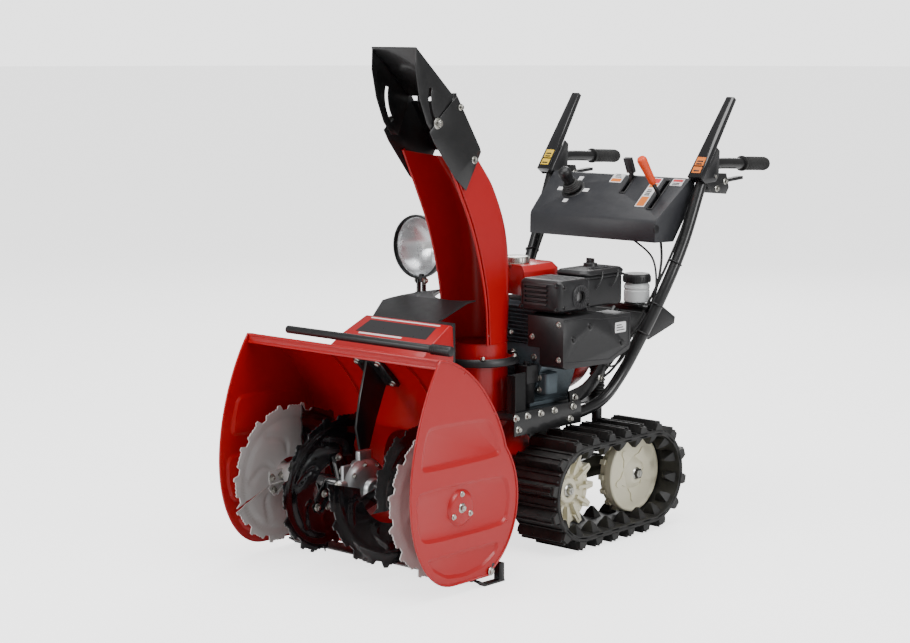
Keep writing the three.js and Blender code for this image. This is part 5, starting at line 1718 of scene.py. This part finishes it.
@dataclass
class Console:
    """The control panel with its levers, marks and cables."""

    front: Pair = (341, 749)
    slope: float = math.atan2(99, 124)

    def on_panel(self) -> Matrix:
        """From the panel's own plane, X across and Y up the slope, to the machine."""
        return Matrix.Translation((0, *self.front)) @ Matrix.Rotation(self.slope, 4, "X")

    def on_top(self) -> Matrix:
        """As on_panel, but lying on the shell, which rises a little more steeply."""
        rise = Matrix.Rotation(math.atan2(94, 114), 4, "X")
        return Matrix.Translation((0, 345, 752)) @ rise @ Matrix.Translation((0, -5, 0))

    def film(self, name: str, finish: Finish, areas: Sequence[tuple[Pair, Pair]], rise: float) -> None:
        """Thin marks on the panel."""
        form = Form()
        for low, high in areas:
            form.plate("z", rounded(low, high, 1.2, 3), 0.05, rise)
        form.turned(self.on_top()).finish(name, finish, "frame")

    def labels(self) -> None:
        """Plain marks with no lettering: coloured fields and bars."""
        white = [((-20, 126), (17, 158)), ((108, 46), (137, 151)), ((169, 127), (204, 152))]
        self.film("panel_white_marks", WHITE_FILM, white, 0.7)
        orange = [((-17, 129), (14, 140)), ((111, 49), (134, 82)), ((111, 116), (134, 130))]
        self.film("panel_orange_marks", ORANGE_FILM, orange, 1.0)
        self.film("panel_red_marks", RED_FILM, [((111, 132), (134, 148)), ((172, 141), (201, 149))], 1.0)
        bars = [((-12, 144 + 5 * i), (9 - 3 * i, 146 + 5 * i)) for i in range(3)]
        bars += [((114, 87 + 6 * i), (130 - 2 * (i % 2), 90 + 6 * i)) for i in range(4)]
        bars += [((174, 130 + 4.5 * i), (196, 132 + 4.5 * i)) for i in range(2)]
        self.film("panel_dark_bars", PRINT_AND_SHADE_INK, bars, 1.2)
        tags = [((-165, 86), (-148, 98)), ((-82, 86), (-65, 98)), ((-122, 126), (-108, 140)),
            ((-122, 44), (-108, 56))]
        self.film("panel_direction_marks", WHITE_FILM, tags, 0.7)
        for name, low, high in (("throttle", (32, 89), (52, 155)), ("shift", (147, 38), (167, 146))):
            hole = rounded((low[0] + 4, low[1] + 4), (high[0] - 4, high[1] - 4), 2, 3)
            form = Form().plate("z", rounded(low, high, 4), -0.6, 2.0, [hole]).turned(self.on_top())
            form.finish(f"panel_{name}_frame", PLASTIC, "frame", bevel=0.6)
        plug = Form().lathe("x", (0, 344, 730), [(0, 199), (10, 199), (10, 201.4), (7, 202), (0, 202)])
        plug.finish("console_plug_left", PLASTIC, "frame")

    def joystick(self) -> None:
        """The chute joystick on its ribbed boot."""
        here = self.on_panel() @ Matrix.Translation((-115, 92, 0))
        knob = [(0, 8), (11, 8), (13, 28), (15, 42), (17, 54), (17, 60), (14, 67), (8, 71), (0, 72)]
        form = Form().lathe("z", (0, 0, 0), [(0, -12), (5, -12), (5, 10), *knob[1:]], 48).turned(here)
        form.finish("joystick_knob", PLASTIC, "joystick", "joystick", smooth=50.0)
        up = here.to_3x3() @ Vector((0, 0, 1))
        boot = Form().lathe("z", (0, 0, 0), [(8, -18), (16, -8), (17, -2), (16.5, 4), (14, 6), (10, 6),
            (8, 0)], 48)
        boot.turned(here).finish("joystick_boot", GRIP, "joystick_gimbal", "joystick_gimbal")
        spots = [Spot(here @ Vector((0, 0, 10 + 4.5 * i)), up, (1, 0, 0), 21.0 - 1.9 * i) for i in range(4)]
        grow("joystick_bellows", "rings", spots, GRIP, "joystick", smooth=60.0, Thickness=0.22, Around=32)
        bezel = Form().lathe("z", (0, 0, 0), [(21, -1), (32, -1), (32, 1.4), (29, 2.8), (23, 2.8), (21, 1)],
            64)
        bezel.turned(here).finish("joystick_bezel", PLASTIC, "frame")

    def levers(self) -> None:
        """The throttle blade and the drive lever with its bright grip."""
        eased("throttle_lever", PLASTIC, "throttle_blade", 1.6)
        here = self.on_panel() @ Matrix.Translation((157, 92, -42))
        stem = Form().rod("z", (0, 0, 0), -8, 92, 5, 24).turned(here)
        stem.finish("shift_stem", BLACK, "shift_lever", "shift_lever")
        profile = [(0, 83), (8, 83), (9.4, 86), (9.6, 96), (10.4, 120), (12, 148), (12.4, 158), (10, 164),
            (0, 166)]
        Form().lathe("z", (0, 0, 0), profile, 48).turned(here).finish(
            "shift_grip", ORANGE, "shift_lever", smooth=50.0
        )

    def cables(self) -> None:
        """Control cables clipped along the left tube and under the console."""
        runs = {
            "throttle": ([(60, 380, 712), (120, 372, 690), (188, 352, 650), (206, 332, 560), (184, 284, 470),
            (160, 232, 400),
                          (120, 190, 420)], 2.6),
            "clutch": ([(226, 500, 822), (222, 462, 790), (214, 420, 706), (205, 360, 610), (180, 300, 500),
            (152, 240, 392),
                        (120, 160, 345)], 3.2),
            "drive": ([(150, 420, 756), (170, 404, 700), (196, 372, 640), (196, 330, 540), (166, 268, 450),
            (132, 226, 380)], 3.2),
            "steering": ([(-226, 500, 822), (-222, 462, 790), (-214, 420, 706), (-205, 360, 610),
            (-180, 300, 500),
                          (-152, 240, 392), (-120, 160, 345)], 3.2),
        }
        for name, (points, radius) in runs.items():
            form = Form().tube(through(points, 8), radius, 12)
            form.finish(f"{name}_cable", GRIP, "frame", smooth=60.0)
        spots = []
        for side in (1, -1):
            for centre in ((199, 297, 477), (214, 332, 545), (229, 386, 646)):
                point = Vector(centre)
                point.x *= side
                spots.append(Spot(point, (side * 0.22, 0.43, 0.88), (1, 0, 0), 16.4))
        grow("cable_ties", "rings", spots, PLASTIC, "frame", smooth=60.0, Thickness=0.12, Around=24)

    def build(self) -> None:
        """Makes the console and all on it."""
        eased("console", CHARCOAL, "console_shell", 4.0, 45.0)
        self.labels()
        self.joystick()
        self.levers()
        self.cables()
        tool = Form().rod("x", (0, -522, 537), -197, 250, 9, 32, 2).rod("x", (0, -522, 537), 248, 308, 11, 32,
            3)
        tool.finish("clean_out_bar", PLASTIC, "clean_out_tool", "clean_out_tool")
        spots = [Spot((252 + 6 * i, -522, 537), (1, 0, 0), (0, 0, 1), 10.8) for i in range(9)]
        grow("clean_out_bar_ribs", "rings", spots, PLASTIC, "clean_out_tool", smooth=60.0, Thickness=0.09,
            Around=24)


# ---- Studio ----


@dataclass
class Studio:
    """A pale floor, soft light and the camera."""

    azimuth: float = 41.948
    elevation: float = 8.006
    distance: float = 5.0705
    target: Point = (-84.5, -75.8, 518.6)
    lens: float = 83.41
    floor_glow: float = 2.3
    air_seen: float = 2.6
    air_light: float = 0.3

    def floor(self) -> None:
        """A wide pale floor."""
        form = Form().plate("z", arc((0, 0), 60000, 0, 355, 71), -30, -0.6)
        paper = Finish(
            "studio_paper", "milky_plastic", (0.84, 0.84, 0.84), 0.7, Texture.SMOOTH, mottle=0.03,
            mottle_scale=0.6, glow=self.floor_glow,
        )
        piece = form.object("studio_floor", paper)
        nodes = Nodes(piece.data.materials[0].node_tree)
        seen = nodes.add("ShaderNodeLightPath").outputs["Is Camera Ray"]
        shader = nodes.tree.nodes["Principled BSDF"]
        nodes.feed(shader, Emission_Strength=nodes.maths("MULTIPLY", seen, self.floor_glow))

    def light(self, name: str, place: Point, aim: Point, size: float, power: float) -> None:
        """One soft box."""
        data = bpy.data.lights.new(name, "AREA")
        data.shape, data.size, data.energy = "DISK", size, power
        lamp = bpy.data.objects.new(name, data)
        lamp.location = place
        lamp.rotation_mode = "QUATERNION"
        lamp.rotation_quaternion = (Vector(aim) - Vector(place)).to_track_quat("-Z", "Y")
        bpy.context.scene.collection.objects.link(lamp)

    def camera(self) -> None:
        """The camera, from the front left."""
        a, e = math.radians(self.azimuth), math.radians(self.elevation)
        back = Vector((math.sin(a) * math.cos(e), -math.cos(a) * math.cos(e), math.sin(e)))
        data = bpy.data.cameras.new("camera")
        data.lens, data.sensor_width = self.lens, 36.0
        data.clip_end = 200.0
        eye = bpy.data.objects.new("camera", data)
        eye.location = HOME @ Vector(self.target) + back * self.distance
        eye.rotation_mode = "QUATERNION"
        eye.rotation_quaternion = (-back).to_track_quat("-Z", "Y")
        bpy.context.scene.collection.objects.link(eye)
        bpy.context.scene.camera = eye

    def build(self) -> None:
        """Sets the scene."""
        self.camera()
        self.floor()
        self.light("overhead_box", (0.4, -0.6, 4.2), (0, 0, 0.3), 4.5, 215)
        self.light("front_box", (-1.8, -4.6, 2.2), (0, -0.3, 0.5), 2.6, 115)
        self.light("side_box", (4.6, 0.4, 2.4), (0, 0, 0.5), 2.4, 115)
        self.light("back_box", (-2.6, 3.8, 2.8), (0, 0, 0.6), 2.4, 80)
        world = bpy.data.worlds.new("studio_air")
        world.use_nodes = True
        nodes = Nodes(world.node_tree)
        sky = world.node_tree.nodes["Background"]
        seen = nodes.add("ShaderNodeLightPath").outputs["Is Camera Ray"]
        strength = nodes.maths("MULTIPLY_ADD", seen, self.air_seen - self.air_light, self.air_light)
        nodes.feed(sky, Color=(1.0, 1.0, 1.0, 1.0), Strength=strength)
        bpy.context.scene.world = world


def main() -> None:
    """Builds the studio and every sub-assembly."""
    for part in (Studio(), Housing(), Augers(), Chute(), Deflector(), ChuteDrive(), Headlight(), Engine(),
                 Track(), Frame(), Handlebar(), Console()):
        part.build()
        log.info("%s is built", type(part).__name__)


if __name__ == "__main__":
    main()
